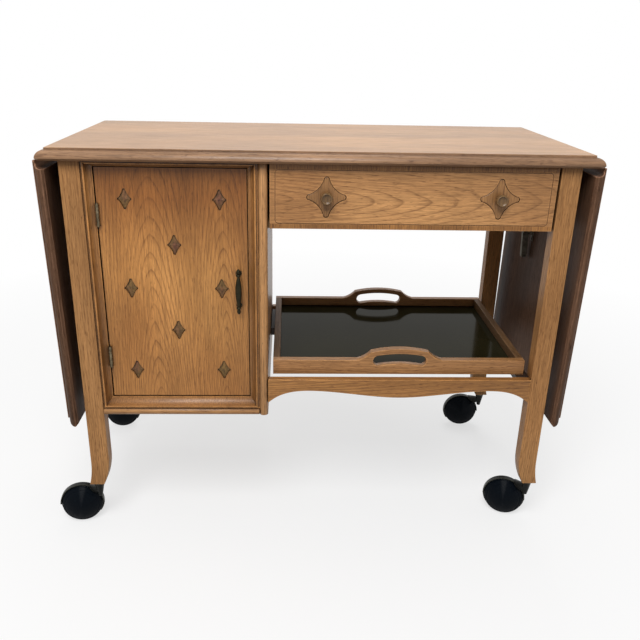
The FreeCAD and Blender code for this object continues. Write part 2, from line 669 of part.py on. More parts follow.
def drilled(panel):
    """Panel with the holes for its pins."""
    for spot, way in pin_spots():
        panel = panel.cut(rod(spot - way * HOLE_CLEAR, way, PIN_RADIUS + HOLE_CLEAR, PIN_DEPTH + PIN_REACH))
    return panel


def cabinet_left_side():
    """Panel between the left legs."""
    return drilled(box(-SIDE_OUT, CAB_LEFT, LEG_BACK_Y, -LEG_BACK_Y, CAB_BOTTOM, TOP_UNDER))


def cabinet_right_side():
    """Panel between the cupboard and the tray."""
    return drilled(box(CAB_INNER, CAB_RIGHT, STILE_BACK, BACK_OUT, CAB_BOTTOM, TOP_UNDER))


def cabinet_bottom():
    """Floor of the cupboard."""
    return box(CAB_LEFT, CAB_INNER, MOULD_BACK, BACK_IN, CAB_BOTTOM, CAB_BOTTOM + PANEL)


def cabinet_back():
    """Back of the cupboard."""
    return box(CAB_LEFT, CAB_INNER, BACK_IN, BACK_OUT, CAB_BOTTOM, TOP_UNDER)


def cabinet_shelf():
    """Loose shelf on four pins."""
    return box(CAB_LEFT + SHELF_CLEAR, CAB_INNER - SHELF_CLEAR, MOULD_BACK + SHELF_SETBACK,
               BACK_IN - SHELF_CLEAR, SHELF_LOW, SHELF_LOW + SHELF_THICK)


def cabinet_stile():
    """Upright at the cupboard's right front corner, with a rounded face."""
    shoulder = BEAD_Y + STILE_SHOULDER
    face = outline(
        FreeCAD.Vector(CAB_INNER, STILE_BACK, 0),
        FreeCAD.Vector(CAB_RIGHT, STILE_BACK, 0),
        FreeCAD.Vector(CAB_RIGHT, shoulder, 0),
        (FreeCAD.Vector((CAB_INNER + CAB_RIGHT) / 2, BEAD_Y, 0), FreeCAD.Vector(CAB_INNER, shoulder, 0)),
    )
    return extruded(face, Z, CAB_BOTTOM, TOP_UNDER)


def cabinet_base_bead():
    """Rounded rail along the cupboard's lower front edge."""
    top = CAB_BOTTOM + BEAD_HEIGHT
    shoulder = BEAD_Y + BEAD_SHOULDER
    face = outline(
        endways(MOULD_BACK, CAB_BOTTOM),
        endways(MOULD_BACK, top),
        endways(shoulder, top),
        (endways(BEAD_Y, CAB_BOTTOM + BEAD_HEIGHT / 2), endways(shoulder, CAB_BOTTOM)),
    )
    return extruded(face, X, CAB_LEFT, CAB_INNER)


def moulding(point, width):
    """Section of a door moulding: groove, narrow flat and a hollow that falls to the door."""
    flat_end = MOULD_GROOVE_WIDTH + MOULD_FLAT
    hollow = width - flat_end
    share_across, share_deep = MOULD_HOLLOW
    through = point(flat_end + hollow * share_across, MOULD_RISE * share_deep)
    return outline(
        point(0, MOULD_GROOVE),
        point(MOULD_GROOVE_WIDTH, MOULD_GROOVE),
        point(MOULD_GROOVE_WIDTH, 0),
        point(flat_end, 0),
        (through, point(width, MOULD_RISE)),
        point(width, MOULD_DEPTH),
        point(0, MOULD_DEPTH),
    )


def door_mouldings():
    """Four mouldings mitred round the door: left, right, base and top."""
    left, right = CAB_LEFT, CAB_INNER
    low, high = CAB_BOTTOM + BEAD_HEIGHT, TOP_UNDER
    inner_left, inner_right = left + MOULD_SIDE, right - MOULD_SIDE
    inner_low, inner_high = low + MOULD_BASE, high - MOULD_TOP
    bars = [
        extruded(moulding(lambda w, d: FreeCAD.Vector(left + w, FACE_Y + d, 0), MOULD_SIDE), Z, low, high),
        extruded(moulding(lambda w, d: FreeCAD.Vector(right - w, FACE_Y + d, 0), MOULD_SIDE), Z, low, high),
        extruded(moulding(lambda w, d: endways(FACE_Y + d, low + w), MOULD_BASE), X, left, right),
        extruded(moulding(lambda w, d: endways(FACE_Y + d, high - w), MOULD_TOP), X, left, right),
    ]
    mitres = [
        outline(across(left, low), across(inner_left, inner_low), across(inner_left, inner_high),
                across(left, high)),
        outline(across(right, low), across(inner_right, inner_low), across(inner_right, inner_high),
                across(right, high)),
        outline(across(left, low), across(right, low), across(inner_right, inner_low),
                across(inner_left, inner_low)),
        outline(across(left, high), across(right, high), across(inner_right, inner_high),
                across(inner_left, inner_high)),
    ]
    return [bar.common(extruded(mitre, Y, FACE_Y, MOULD_BACK)) for bar, mitre in zip(bars, mitres)]


# Door

def star(middle, half_width, half_height, depth, blunt, hollow):
    """Four-pointed plate, its face at middle.y; blunt and hollow are shares of its half sizes."""
    tip = half_width * blunt
    neck_x = half_width - tip
    neck_z = half_height - tip
    hollow_x = half_width * hollow
    hollow_z = half_height * hollow

    def point(u, v):
        return middle + across(u, v)

    face = outline(
        point(neck_x, -tip),
        (point(half_width, 0), point(neck_x, tip)),
        (point(hollow_x, hollow_z), point(tip, neck_z)),
        (point(0, half_height), point(-tip, neck_z)),
        (point(-hollow_x, hollow_z), point(-neck_x, tip)),
        (point(-half_width, 0), point(-neck_x, -tip)),
        (point(-hollow_x, -hollow_z), point(-tip, -neck_z)),
        (point(0, -half_height), point(tip, -neck_z)),
        (point(hollow_x, -hollow_z), point(neck_x, -tip)),
    )
    return face.extrude(Y * depth)


def lozenge_spots():
    """Middles of the door's eight inlays: rows of two and one in turn."""
    spots = []
    pitch = (DOOR_RIGHT - DOOR_LEFT) * LOZENGE_SHARE
    for row in range(-2, 3):
        for column in ((0,) if row % 2 else (-1, 1)):
            spots.append(DOOR_MIDDLE + across(column, row) * pitch)
    return spots


def door_panel():
    """Door with a pocket for each inlay."""
    panel = box(DOOR_LEFT, DOOR_RIGHT, DOOR_Y, DOOR_Y + DOOR_THICK, DOOR_BOTTOM, DOOR_TOP)
    for spot in lozenge_spots():
        panel = panel.cut(star(spot, LOZENGE_HALF_WIDTH + INLAY_GAP, LOZENGE_HALF_HEIGHT + INLAY_GAP,
                               LOZENGE_SINK + LOZENGE_THICK, LOZENGE_BLUNT, LOZENGE_HOLLOW))
    return panel


def door_lozenges():
    """Eight inlays, a little below the door's face."""
    sink = Y * LOZENGE_SINK
    return [star(spot + sink, LOZENGE_HALF_WIDTH, LOZENGE_HALF_HEIGHT, LOZENGE_THICK, LOZENGE_BLUNT,
                 LOZENGE_HOLLOW) for spot in lozenge_spots()]


def door_hinge_places():
    """Lower end of each door hinge."""
    half = DOOR_HINGE_LENGTH / 2
    return [DOOR_BOTTOM + DOOR_HINGE_INSET - half, DOOR_TOP - DOOR_HINGE_INSET - half]


def door_hinge_leaf(low, x0, x1, back, mine, others):
    """Hinge leaf on the moulding or on the door: plate and its own knuckles."""
    plate = box(x0, x1, DOOR_PIN_AT.y, back, low, low + DOOR_HINGE_LENGTH)
    for start, end in others:
        plate = plate.cut(rod(DOOR_PIN_AT + Z * (start - KNUCKLE_GAP), Z, DOOR_BARREL + KNUCKLE_GAP,
                              end - start + 2 * KNUCKLE_GAP))
    barrels = [rod(DOOR_PIN_AT + Z * start, Z, DOOR_BARREL, end - start) for start, end in mine]
    bore = rod(DOOR_PIN_AT + Z * low, Z, DOOR_PIN + HOLE_CLEAR, DOOR_HINGE_LENGTH)
    return join(plate, *barrels).cut(bore)


def door_knuckles(low):
    """Ends of a door hinge's three knuckles; the middle one is the door's."""
    third = DOOR_HINGE_LENGTH / 3
    frame = [(low, low + third - KNUCKLE_GAP), (low + 2 * third + KNUCKLE_GAP, low + DOOR_HINGE_LENGTH)]
    door = [(low + third, low + 2 * third)]
    return frame, door


def door_hinge_frame_leaves():
    """Hinge leaves on the left moulding."""
    side = CAB_LEFT + MOULD_SIDE
    leaves = []
    for low in door_hinge_places():
        frame, door = door_knuckles(low)
        leaves.append(door_hinge_leaf(low, side, side + DOOR_HINGE_SHEET, MOULD_BACK, frame, door))
    return leaves


def door_hinge_door_leaves():
    """Hinge leaves on the door's edge."""
    leaves = []
    for low in door_hinge_places():
        frame, door = door_knuckles(low)
        leaves.append(door_hinge_leaf(low, DOOR_LEFT - DOOR_HINGE_SHEET, DOOR_LEFT, DOOR_Y + DOOR_THICK,
                                      door, frame))
    return leaves


def door_hinge_pins():
    """Pins of the door hinges."""
    return [rod(DOOR_PIN_AT + Z * low, Z, DOOR_PIN, DOOR_HINGE_LENGTH) for low in door_hinge_places()]


def door_pull():
    """Spindle-shaped pull on two posts."""
    half = PULL_LENGTH / 2
    neck = PULL_POST_SPREAD - PULL_POST
    collar = PULL_POST_SPREAD + PULL_POST
    curve_side = outline(
        across(0, -half),
        (across(PULL_POST, -half + PULL_POST), across(PULL_NECK, -collar)),
        (across(PULL_EAR, -PULL_POST_SPREAD), across(PULL_NECK, -neck)),
        (across(PULL_BELLY, 0), across(PULL_NECK, neck)),
        (across(PULL_EAR, PULL_POST_SPREAD), across(PULL_NECK, collar)),
        (across(PULL_POST, half - PULL_POST), across(0, half)),
    )
    spindle = curve_side.revolve(ORIGIN, Z, 360)
    spot = FreeCAD.Vector(DOOR_RIGHT - PULL_INSET, DOOR_Y - PULL_STANDOFF, DOOR_MIDDLE.z)
    spindle.translate(spot)
    pieces = []
    for side in (-1, 1):
        post = spot + Z * side * PULL_POST_SPREAD
        pieces.append(rod(post, Y, PULL_POST, PULL_STANDOFF))
        pieces.append(rod(post + Y * (PULL_STANDOFF - PULL_ROSE_THICK), Y, PULL_ROSE, PULL_ROSE_THICK))
    return join(spindle, *pieces)


def door_catch():
    """Catch on the cupboard's right side, behind the door."""
    front = DOOR_Y + DOOR_THICK + STRIKE_THICK + SLIDE_CLEAR
    return box(CAB_INNER - CATCH_WIDTH, CAB_INNER, front, front + CATCH_DEPTH,
               DOOR_MIDDLE.z - CATCH_HEIGHT / 2, DOOR_MIDDLE.z + CATCH_HEIGHT / 2)


def door_strike():
    """Plate on the back of the door that meets the catch."""
    back = DOOR_Y + DOOR_THICK
    return box(DOOR_RIGHT - DOOR_GAP - STRIKE_WIDTH, DOOR_RIGHT - DOOR_GAP, back, back + STRIKE_THICK,
               DOOR_MIDDLE.z - STRIKE_HEIGHT / 2, DOOR_MIDDLE.z + STRIKE_HEIGHT / 2)


# Drawer

def rounded_plate(x0, x1, z0, z1, corner, depth):
    """Plate with round corners, its face at the drawer's face."""
    plate = box(x0, x1, DRAWER_Y, DRAWER_Y + depth, z0, z1)
    uprights = [edge for edge in plate.Edges if abs(edge.tangentAt(edge.FirstParameter).y) > 0.5]
    return plate.makeFillet(corner, uprights)


def rosette_spots():
    """Middles of the two rosettes on the drawer's face."""
    z = (DRAWER_LOW + DRAWER_TOP) / 2
    spread = (DRAWER_RIGHT - DRAWER_LEFT) / 2 * ROSETTE_SHARE
    return [FreeCAD.Vector(BAY_MIDDLE + side * spread, DRAWER_Y, z) for side in (-1, 1)]


def drawer_groove(x0, x1, y0, y1):
    """Groove for the drawer's bottom."""
    low = BOX_LOW + DRAWER_BOTTOM_RISE
    return box(x0, x1, y0, y1, low - GROOVE_CLEAR, low + DRAWER_BOTTOM + GROOVE_CLEAR)


def bottom_groove():
    """Groove all round the inside of the drawer box."""
    reach = GROOVE_DEPTH + GROOVE_CLEAR
    return drawer_groove(BOX_LEFT + DRAWER_SIDE - reach, BOX_RIGHT - DRAWER_SIDE + reach,
                         DRAWER_BOX_Y - reach, BOX_BACK - DRAWER_SIDE + reach)


def drawer_front():
    """Front with a cut line near its edge and pockets for the rosettes."""
    board = box(DRAWER_LEFT, DRAWER_RIGHT, DRAWER_Y, DRAWER_BOX_Y, DRAWER_LOW, DRAWER_TOP)
    inner = LINE_MARGIN + LINE_WIDTH
    outer_plate = rounded_plate(DRAWER_LEFT + LINE_MARGIN, DRAWER_RIGHT - LINE_MARGIN,
                                DRAWER_LOW + LINE_MARGIN, DRAWER_TOP - LINE_MARGIN,
                                LINE_CORNER + LINE_WIDTH, LINE_DEPTH)
    inner_plate = rounded_plate(DRAWER_LEFT + inner, DRAWER_RIGHT - inner,
                                DRAWER_LOW + inner, DRAWER_TOP - inner, LINE_CORNER, LINE_DEPTH)
    board = board.cut(outer_plate.cut(inner_plate))
    for spot in rosette_spots():
        board = board.cut(star(spot, ROSETTE_HALF_WIDTH + INLAY_GAP, ROSETTE_HALF_HEIGHT + INLAY_GAP,
                               ROSETTE_THICK, ROSETTE_BLUNT, ROSETTE_HOLLOW))
    return board.cut(bottom_groove())


def drawer_rosettes():
    """Two carved plates let into the drawer's front."""
    return [star(spot, ROSETTE_HALF_WIDTH, ROSETTE_HALF_HEIGHT, ROSETTE_THICK, ROSETTE_BLUNT,
                 ROSETTE_HOLLOW) for spot in rosette_spots()]


def drawer_knobs():
    """Two turned knobs with dished faces."""
    head = KNOB_LENGTH - KNOB_RIM
    half = outline(
        across(0, 0),
        across(KNOB_FOOT, 0),
        (across(KNOB_NECK, head / 2), across(KNOB_RADIUS * KNOB_BACK_SHARE, head)),
        (across(KNOB_RADIUS, head + KNOB_RIM / 2), across(KNOB_RADIUS * KNOB_FACE_SHARE, KNOB_LENGTH)),
        (across(KNOB_RADIUS * KNOB_SLOPE_SHARE, KNOB_LENGTH - KNOB_DISH * KNOB_FALL_SHARE),
         across(KNOB_RADIUS * KNOB_FLOOR_SHARE, KNOB_LENGTH - KNOB_DISH)),
        across(0, KNOB_LENGTH - KNOB_DISH),
    )
    knobs = []
    for spot in rosette_spots():
        knob = half.revolve(ORIGIN, Z, 360)
        knob.rotate(ORIGIN, X, 90)
        knob.translate(spot)
        knobs.append(knob)
    return knobs


def drawer_sides():
    """The two sides of the drawer box."""
    left = box(BOX_LEFT, BOX_LEFT + DRAWER_SIDE, DRAWER_BOX_Y, BOX_BACK, BOX_LOW, BOX_TOP)
    right = box(BOX_RIGHT - DRAWER_SIDE, BOX_RIGHT, DRAWER_BOX_Y, BOX_BACK, BOX_LOW, BOX_TOP)
    return [side.cut(bottom_groove()) for side in (left, right)]


def drawer_back():
    """Back of the drawer box, between its sides."""
    board = box(BOX_LEFT + DRAWER_SIDE, BOX_RIGHT - DRAWER_SIDE, BOX_BACK - DRAWER_SIDE, BOX_BACK,
                BOX_LOW, BOX_TOP)
    return board.cut(bottom_groove())


def drawer_bottom():
    """Bottom of the drawer, held in the grooves."""
    low = BOX_LOW + DRAWER_BOTTOM_RISE
    return box(BOX_LEFT + DRAWER_SIDE - GROOVE_DEPTH, BOX_RIGHT - DRAWER_SIDE + GROOVE_DEPTH,
               DRAWER_BOX_Y - GROOVE_DEPTH, BOX_BACK - DRAWER_SIDE + GROOVE_DEPTH, low, low + DRAWER_BOTTOM)


# Tray

def tray_groove():
    """Groove all round the inside of the tray for its bottom."""
    reach = GROOVE_DEPTH + GROOVE_CLEAR
    low = TRAY_LOW + TRAY_BOTTOM_RISE
    return box(TRAY_LEFT + TRAY_SIDE - reach, TRAY_RIGHT - TRAY_SIDE + reach,
               TRAY_FRONT + TRAY_BOARD - reach, TRAY_BACK - TRAY_BOARD + reach,
               low - GROOVE_CLEAR, low + TRAY_BOTTOM + GROOVE_CLEAR)


def tray_board(start):
    """Front or rear board of the tray, raised in the middle round a hand hole."""
    half = (TRAY_RIGHT - TRAY_LEFT) / 2
    flare = (HUMP_HALF + HUMP_SHOULDER) / 2

    def point(u, v):
        return across(BAY_MIDDLE + u, TRAY_TOP + v)

    face = outline(
        point(-half, -TRAY_RIM),
        point(half, -TRAY_RIM),
        point(half, 0),
        point(HUMP_HALF, 0),
        (point(flare, HUMP_SHOULDER_RISE * HUMP_FLARE_SHARE), point(HUMP_SHOULDER, HUMP_SHOULDER_RISE)),
        (point(0, HUMP_RISE), point(-HUMP_SHOULDER, HUMP_SHOULDER_RISE)),
        (point(-flare, HUMP_SHOULDER_RISE * HUMP_FLARE_SHARE), point(-HUMP_HALF, 0)),
        point(-half, 0),
    )
    hole = outline(
        point(-HOLE_END, -HOLE_FOOT),
        (point(-HOLE_HALF, (HOLE_SHOULDER - HOLE_FOOT) / 2), point(-HOLE_END, HOLE_SHOULDER)),
        (point(0, HOLE_TOP), point(HOLE_END, HOLE_SHOULDER)),
        (point(HOLE_HALF, (HOLE_SHOULDER - HOLE_FOOT) / 2), point(HOLE_END, -HOLE_FOOT)),
        (point(0, -HOLE_MIDDLE), point(-HOLE_END, -HOLE_FOOT)),
    )
    board = extruded(face, Y, start, start + TRAY_BOARD)
    return board.cut(extruded(hole, Y, start, start + TRAY_BOARD)).cut(tray_groove())


def tray_side_boards():
    """The two low sides of the tray, between the front and rear boards."""
    sides = []
    for x in (TRAY_LEFT, TRAY_RIGHT - TRAY_SIDE):
        board = box(x, x + TRAY_SIDE, TRAY_FRONT + TRAY_BOARD, TRAY_BACK - TRAY_BOARD, TRAY_LOW, TRAY_TOP)
        sides.append(board.cut(tray_groove()))
    return sides


def tray_bottom():
    """Black bottom of the tray, held in the grooves."""
    low = TRAY_LOW + TRAY_BOTTOM_RISE
    return box(TRAY_LEFT + TRAY_SIDE - GROOVE_DEPTH, TRAY_RIGHT - TRAY_SIDE + GROOVE_DEPTH,
               TRAY_FRONT + TRAY_BOARD - GROOVE_DEPTH, TRAY_BACK - TRAY_BOARD + GROOVE_DEPTH,
               low, low + TRAY_BOTTOM)


# Casters

def stems():
    """Bottom of each foot at the stem, by corner."""
    return {
        "front_left": FreeCAD.Vector(-STEM_X, -STEM_Y, FOOT_HEIGHT),
        "front_right": FreeCAD.Vector(STEM_X, -STEM_Y, FOOT_HEIGHT),
        "rear_left": FreeCAD.Vector(-STEM_X, STEM_Y, FOOT_HEIGHT),
        "rear_right": FreeCAD.Vector(STEM_X, STEM_Y, FOOT_HEIGHT),
    }


def ball_middle(corner):
    """Middle of the ball that trails from a corner's stem."""
    stem = stems()[corner]
    turn = FreeCAD.Rotation(Z, CASTER_TURNS[corner])
    trail = turn.multVec(FreeCAD.Vector(-CASTER_TRAIL, CASTER_BACK, 0))
    return FreeCAD.Vector(stem.x + trail.x, stem.y + trail.y, BALL_Z)


def swivelled(piece, corner):
    """Caster piece drawn about the ball's middle, turned and set under its corner."""
    piece.rotate(ORIGIN, Z, CASTER_TURNS[corner])
    return piece.translated(ball_middle(corner))


def caster_socket(stem):
    """Sleeve up the foot, with a flange under it."""
    sleeve = rod(stem, Z, SLEEVE_RADIUS, SLEEVE_LENGTH)
    flange = rod(stem - Z * FLANGE_THICK, Z, FLANGE_RADIUS, FLANGE_THICK)
    bore = rod(stem - Z * FLANGE_THICK, Z, STEM_RADIUS + STEM_CLEAR,
               FLANGE_THICK + STEM_LENGTH + SWIVEL_GAP)
    return join(sleeve, flange).cut(bore)


def tilted(shape):
    """Piece drawn with the wheel's axle along Z, tilted to the axle's real slope."""
    shape.rotate(ORIGIN, X, 90 - WHEEL_TILT)
    return shape


def cap_middle(radius, rise):
    """Halfway along a round cap's half section: how far out, and how far below the cap's top."""
    ball = (radius ** 2 + rise ** 2) / (2 * rise)
    half_turn = math.asin(radius / ball) / 2
    return ball * math.sin(half_turn), ball * (1 - math.cos(half_turn))


def wheel():
    """Domed wheel with a tyre bead and a blind bore, about the ball's middle."""
    out, fall = cap_middle(WHEEL_DOME, WHEEL_DOME_TOP - WHEEL_DOME_EDGE)
    bore = AXLE_RADIUS + AXLE_CLEAR
    bore_end = AXLE_END + SWIVEL_GAP
    half = outline(
        across(0, bore_end),
        across(0, WHEEL_DOME_TOP),
        (across(out, WHEEL_DOME_TOP - fall), across(WHEEL_DOME, WHEEL_DOME_EDGE)),
        across(TYRE_SEAT, TYRE_FRONT),
        (across(TYRE_OUT, TYRE_MIDDLE), across(TYRE_SEAT, TYRE_BACK)),
        across(HUB_RADIUS, TYRE_BACK),
        across(HUB_RADIUS, HUB_BACK),
        across(bore, HUB_BACK),
        across(bore, bore_end),
    )
    return tilted(half.revolve(ORIGIN, Z, 360))


def hood_shell():
    """Dished shell round the back of the wheel, with the lower front cut away."""
    out, rise = cap_middle(HOOD_OUT, HOOD_DEPTH - HOOD_SHOULDER)
    depth_in = HOOD_DEPTH - HOOD_WALL
    out_in, rise_in = cap_middle(HOOD_IN, depth_in - HOOD_SHOULDER)
    half = outline(
        across(0, -HOOD_DEPTH),
        (across(out, rise - HOOD_DEPTH), across(HOOD_OUT, -HOOD_SHOULDER)),
        across(HOOD_OUT, HOOD_EDGE),
        across(HOOD_IN, HOOD_EDGE),
        across(HOOD_IN, -HOOD_SHOULDER),
        (across(out_in, rise_in - depth_in), across(0, -depth_in)),
    )
    shell = half.revolve(ORIGIN, Z, 360)
    far = 2 * HOOD_OUT
    shell = tilted(shell.cut(box(-far, far, -far, 0, HOOD_FRONT_CUT, far)))
    return shell.cut(box(-far, far, -far, far, -far, -HOOD_SKIRT))


def hood():
    """Hood with its neck, boss, stem and axle in one casting, about the ball's middle."""
    boss_top = FOOT_HEIGHT - FLANGE_THICK - SWIVEL_GAP - BALL_Z
    boss_mid = (BOSS_BOTTOM + boss_top) / 2
    at_stem = FreeCAD.Vector(CASTER_TRAIL, -CASTER_BACK, 0)
    boss = Part.makeCone(BOSS_TIP, BOSS_RADIUS, boss_top - BOSS_BOTTOM, at_stem + Z * BOSS_BOTTOM, Z)
    stem = rod(at_stem + Z * boss_mid, Z, STEM_RADIUS, FOOT_HEIGHT + STEM_LENGTH - BALL_Z - boss_mid)
    neck_start = FreeCAD.Vector(NECK_OUT, NECK_BACK, NECK_RISE)
    neck_way = at_stem + Z * boss_mid - neck_start
    neck = Part.makeCone(NECK_BASE, NECK_END, neck_way.Length, neck_start, neck_way)
    neck = neck.cut(tilted(rod(-Z * HOOD_OUT, Z, HOOD_IN, 2 * HOOD_OUT)))
    axle_back = HOOD_DEPTH - HOOD_WALL / 2
    axle = tilted(rod(-Z * axle_back, Z, AXLE_RADIUS, axle_back + AXLE_END))
    return join(hood_shell(), neck, boss, stem, axle)


def both_sides(piece):
    """A piece of the right leaf's hardware and its mirror image."""
    return [mirrored(piece), piece]


def model():
    """Every piece of the cart by name."""
    parts = {"top_panel": top_panel()}
    right_leaf = hung(leaf())
    parts["left_leaf"] = mirrored(right_leaf)
    parts["right_leaf"] = right_leaf
    plates = []
    pins = []
    leaf_plates = []
    for start in hinge_places():
        plates += both_sides(hinge_top_plate(start).translated(LEAF_PIN))
        pins += both_sides(hinge_pin(start).translated(LEAF_PIN))
        leaf_plates.append(hung(hinge_leaf_plate(start)))
    parts["leaf_hinge_top_plates"] = plates
    parts["leaf_hinge_pins"] = pins
    parts["left_leaf_hinge_plates"] = [mirrored(plate) for plate in leaf_plates]
    parts["right_leaf_hinge_plates"] = leaf_plates
    parts["stay_frame_brackets"] = both_sides(frame_bracket())
    for name, piece in (("frame_arm", frame_arm()), ("leaf_arm", leaf_arm()),
                        ("leaf_bracket", hung(leaf_bracket()))):
        parts["left_stay_" + name] = mirrored(piece)
        parts["right_stay_" + name] = piece
    for name, front in (("front", True), ("rear", False)):
        parts[name + "_right_leg"] = leg(front)
        parts[name + "_left_leg"] = mirrored(leg(front))
    parts["right_apron"] = right_apron()
    parts["rear_apron"] = rear_apron()
    parts["front_rail"] = shaped_rail(FACE_Y)
    parts["rear_rail"] = shaped_rail(BACK_Y - RAIL_THICK)
    parts["tray_bearers"] = tray_bearers()
    parts["drawer_runners"] = drawer_runners()
    parts["support_pins"] = support_pins()
    parts["cabinet_left_side"] = cabinet_left_side()
    parts["cabinet_right_side"] = cabinet_right_side()
    parts["cabinet_bottom"] = cabinet_bottom()
    parts["cabinet_back"] = cabinet_back()
    parts["cabinet_shelf"] = cabinet_shelf()
    parts["cabinet_stile"] = cabinet_stile()
    parts["cabinet_base_bead"] = cabinet_base_bead()
    parts["door_mouldings"] = door_mouldings()
    parts["door_panel"] = door_panel()
    parts["door_lozenges"] = door_lozenges()
    parts["door_hinge_frame_leaves"] = door_hinge_frame_leaves()
    parts["door_hinge_door_leaves"] = door_hinge_door_leaves()
    parts["door_hinge_pins"] = door_hinge_pins()
    parts["door_pull"] = door_pull()
    parts["door_catch"] = door_catch()
    parts["door_strike"] = door_strike()
    parts["drawer_front"] = drawer_front()
    parts["drawer_sides"] = drawer_sides()
    parts["drawer_back"] = drawer_back()
    parts["drawer_bottom"] = drawer_bottom()
    parts["drawer_rosettes"] = drawer_rosettes()
    parts["drawer_knobs"] = drawer_knobs()
    parts["tray_front_board"] = tray_board(TRAY_FRONT)
    parts["tray_rear_board"] = tray_board(TRAY_BACK - TRAY_BOARD)
    parts["tray_side_boards"] = tray_side_boards()
    parts["tray_bottom"] = tray_bottom()
    parts["caster_sockets"] = [caster_socket(stem) for stem in stems().values()]
    for corner in CASTER_TURNS:
        parts[corner + "_caster_hood"] = swivelled(hood(), corner)
        parts[corner + "_caster_wheel"] = swivelled(wheel(), corner)
    return {name: made if isinstance(made, list) else made.Solids for name, made in parts.items()}


def to_origin(parts):
    """Move that puts the origin in the middle of the whole cart's box, on the floor."""
    whole = FreeCAD.BoundBox()
    for solids in parts.values():
        for solid in solids:
            whole.add(solid.optimalBoundingBox())
    return FreeCAD.Vector(-whole.Center.x, -whole.Center.y, -whole.ZMin)


PIECES = model()
FRAME = to_origin(PIECES)
PARTS = {}
for name, solids in PIECES.items():
    moved = [solid.translated(FRAME) for solid in solids]
    PARTS[name] = moved[0] if len(moved) == 1 else Part.Compound(moved)
    PARTS[name].exportStep("parts/" + name + ".step")
    print(name, len(moved), "solid" if PARTS[name].isValid() else "NOT VALID", round(PARTS[name].Volume))
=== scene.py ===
import bpy
import bmesh
import json
import math
from mathutils import Matrix, Vector


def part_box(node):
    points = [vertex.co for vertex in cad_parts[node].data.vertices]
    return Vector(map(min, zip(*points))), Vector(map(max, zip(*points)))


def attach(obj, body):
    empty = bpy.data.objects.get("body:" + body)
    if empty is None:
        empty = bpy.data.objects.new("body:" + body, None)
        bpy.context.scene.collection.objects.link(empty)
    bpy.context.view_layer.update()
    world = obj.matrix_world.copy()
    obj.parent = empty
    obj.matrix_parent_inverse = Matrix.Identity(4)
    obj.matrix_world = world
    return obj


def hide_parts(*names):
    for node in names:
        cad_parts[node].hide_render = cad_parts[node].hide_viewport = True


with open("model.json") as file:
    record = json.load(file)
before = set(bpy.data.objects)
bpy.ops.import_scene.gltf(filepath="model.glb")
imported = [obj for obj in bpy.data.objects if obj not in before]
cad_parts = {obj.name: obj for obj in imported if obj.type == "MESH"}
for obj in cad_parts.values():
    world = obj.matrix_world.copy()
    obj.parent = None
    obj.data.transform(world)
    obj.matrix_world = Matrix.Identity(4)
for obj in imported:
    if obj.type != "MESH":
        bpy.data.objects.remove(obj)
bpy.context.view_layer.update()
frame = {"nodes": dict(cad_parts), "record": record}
nodes = frame["nodes"]
behaviour = frame["record"]["behaviour"]
body_of_node = {node: body for body, group in behaviour["bodies"].items() for node in group}
slot_of_node = {part["node"]: part["material_slot"] for part in frame["record"]["subparts"]}
joint_named = {joint["name"]: joint for joint in behaviour["joints"]}

# Sizes in metres
MM = 0.001
TIMBER_EASE = 0.9 * MM      # rounding of the timber's edges
FLAT_WIDTH = 9.0 * MM       # faces broader than this are flat, narrower ones blend into each other
CARVED_EASE = 1.5 * MM      # rounding of the carved pieces' edges
METAL_EASE = 0.4 * MM       # rounding of the hinges' and stays' edges
EASE_STEPS = 2
EASE_ANGLE = math.radians(35)   # edges sharper than this are rounded
FLAT_ANGLE = math.radians(0.6)  # faces that meet flatter than this are one face
WELD = 0.001 * MM               # corners nearer than this are one corner
FACING = 0.9                    # a face looks along a direction from this cosine on
SQUARE_ON = 0.99                # and straight along it from this one on
BAND_WIDTH = 8.5 * MM       # cross-grained bands of the drawer front
LOZENGE_RIM = 1.5 * MM      # how far a lozenge's rim lies below its flat
LOZENGE_RIDGE = 1.9 * MM    # how far its middle rises above the rim
SCREW_RADIUS = 3.2 * MM
SCREW_RISE = 1.0 * MM
SCREW_SLOT = 0.8 * MM
SCREW_STEPS = 20
SCREW_RINGS = (1.0, 0.97, 0.8, 0.45)    # rings of a head from its rim inwards, as shares of its radius
SCREW_PLACES = (-0.36, 0.0, 0.36)       # places along a plate, as shares of its length
UP, DOWN = Vector((0, 0, 1)), Vector((0, 0, -1))
LEFT, RIGHT = Vector((-1, 0, 0)), Vector((1, 0, 0))
TOP_LOW, TOP_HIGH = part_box("top_panel")
TOP_MIDDLE = (TOP_LOW + TOP_HIGH) / 2

# Caster wheel, along its axle from the ball's middle
DOME_RIM = 37.7 * MM
DOME_EDGE = 4.0 * MM
DOME_TOP = 20.0 * MM
DOME_GROOVE = 0.5 * MM
DOME_GROOVE_AT = (0.80, 0.84)   # groove near the rim, as shares of the dome's arc
DOME_STEPS = 50
TYRE_SEAT = 36.6 * MM
TYRE_CROWN = 2.7 * MM
TYRE_FRONT = 3.0 * MM
TYRE_BACK = -6.0 * MM
CROWN_STEPS = 8
TREAD_NOTCH = 0.6 * MM
TREAD_STEPS = 240
TREAD_PITCH = 6                 # steps from one notch of the tread to the next
HUB_RADIUS = 9.0 * MM
HUB_BACK = -8.0 * MM
BORE_RADIUS = 4.05 * MM
TURNED_PITCH = 1.6 * MM         # from one fine turned ring of the dome to the next

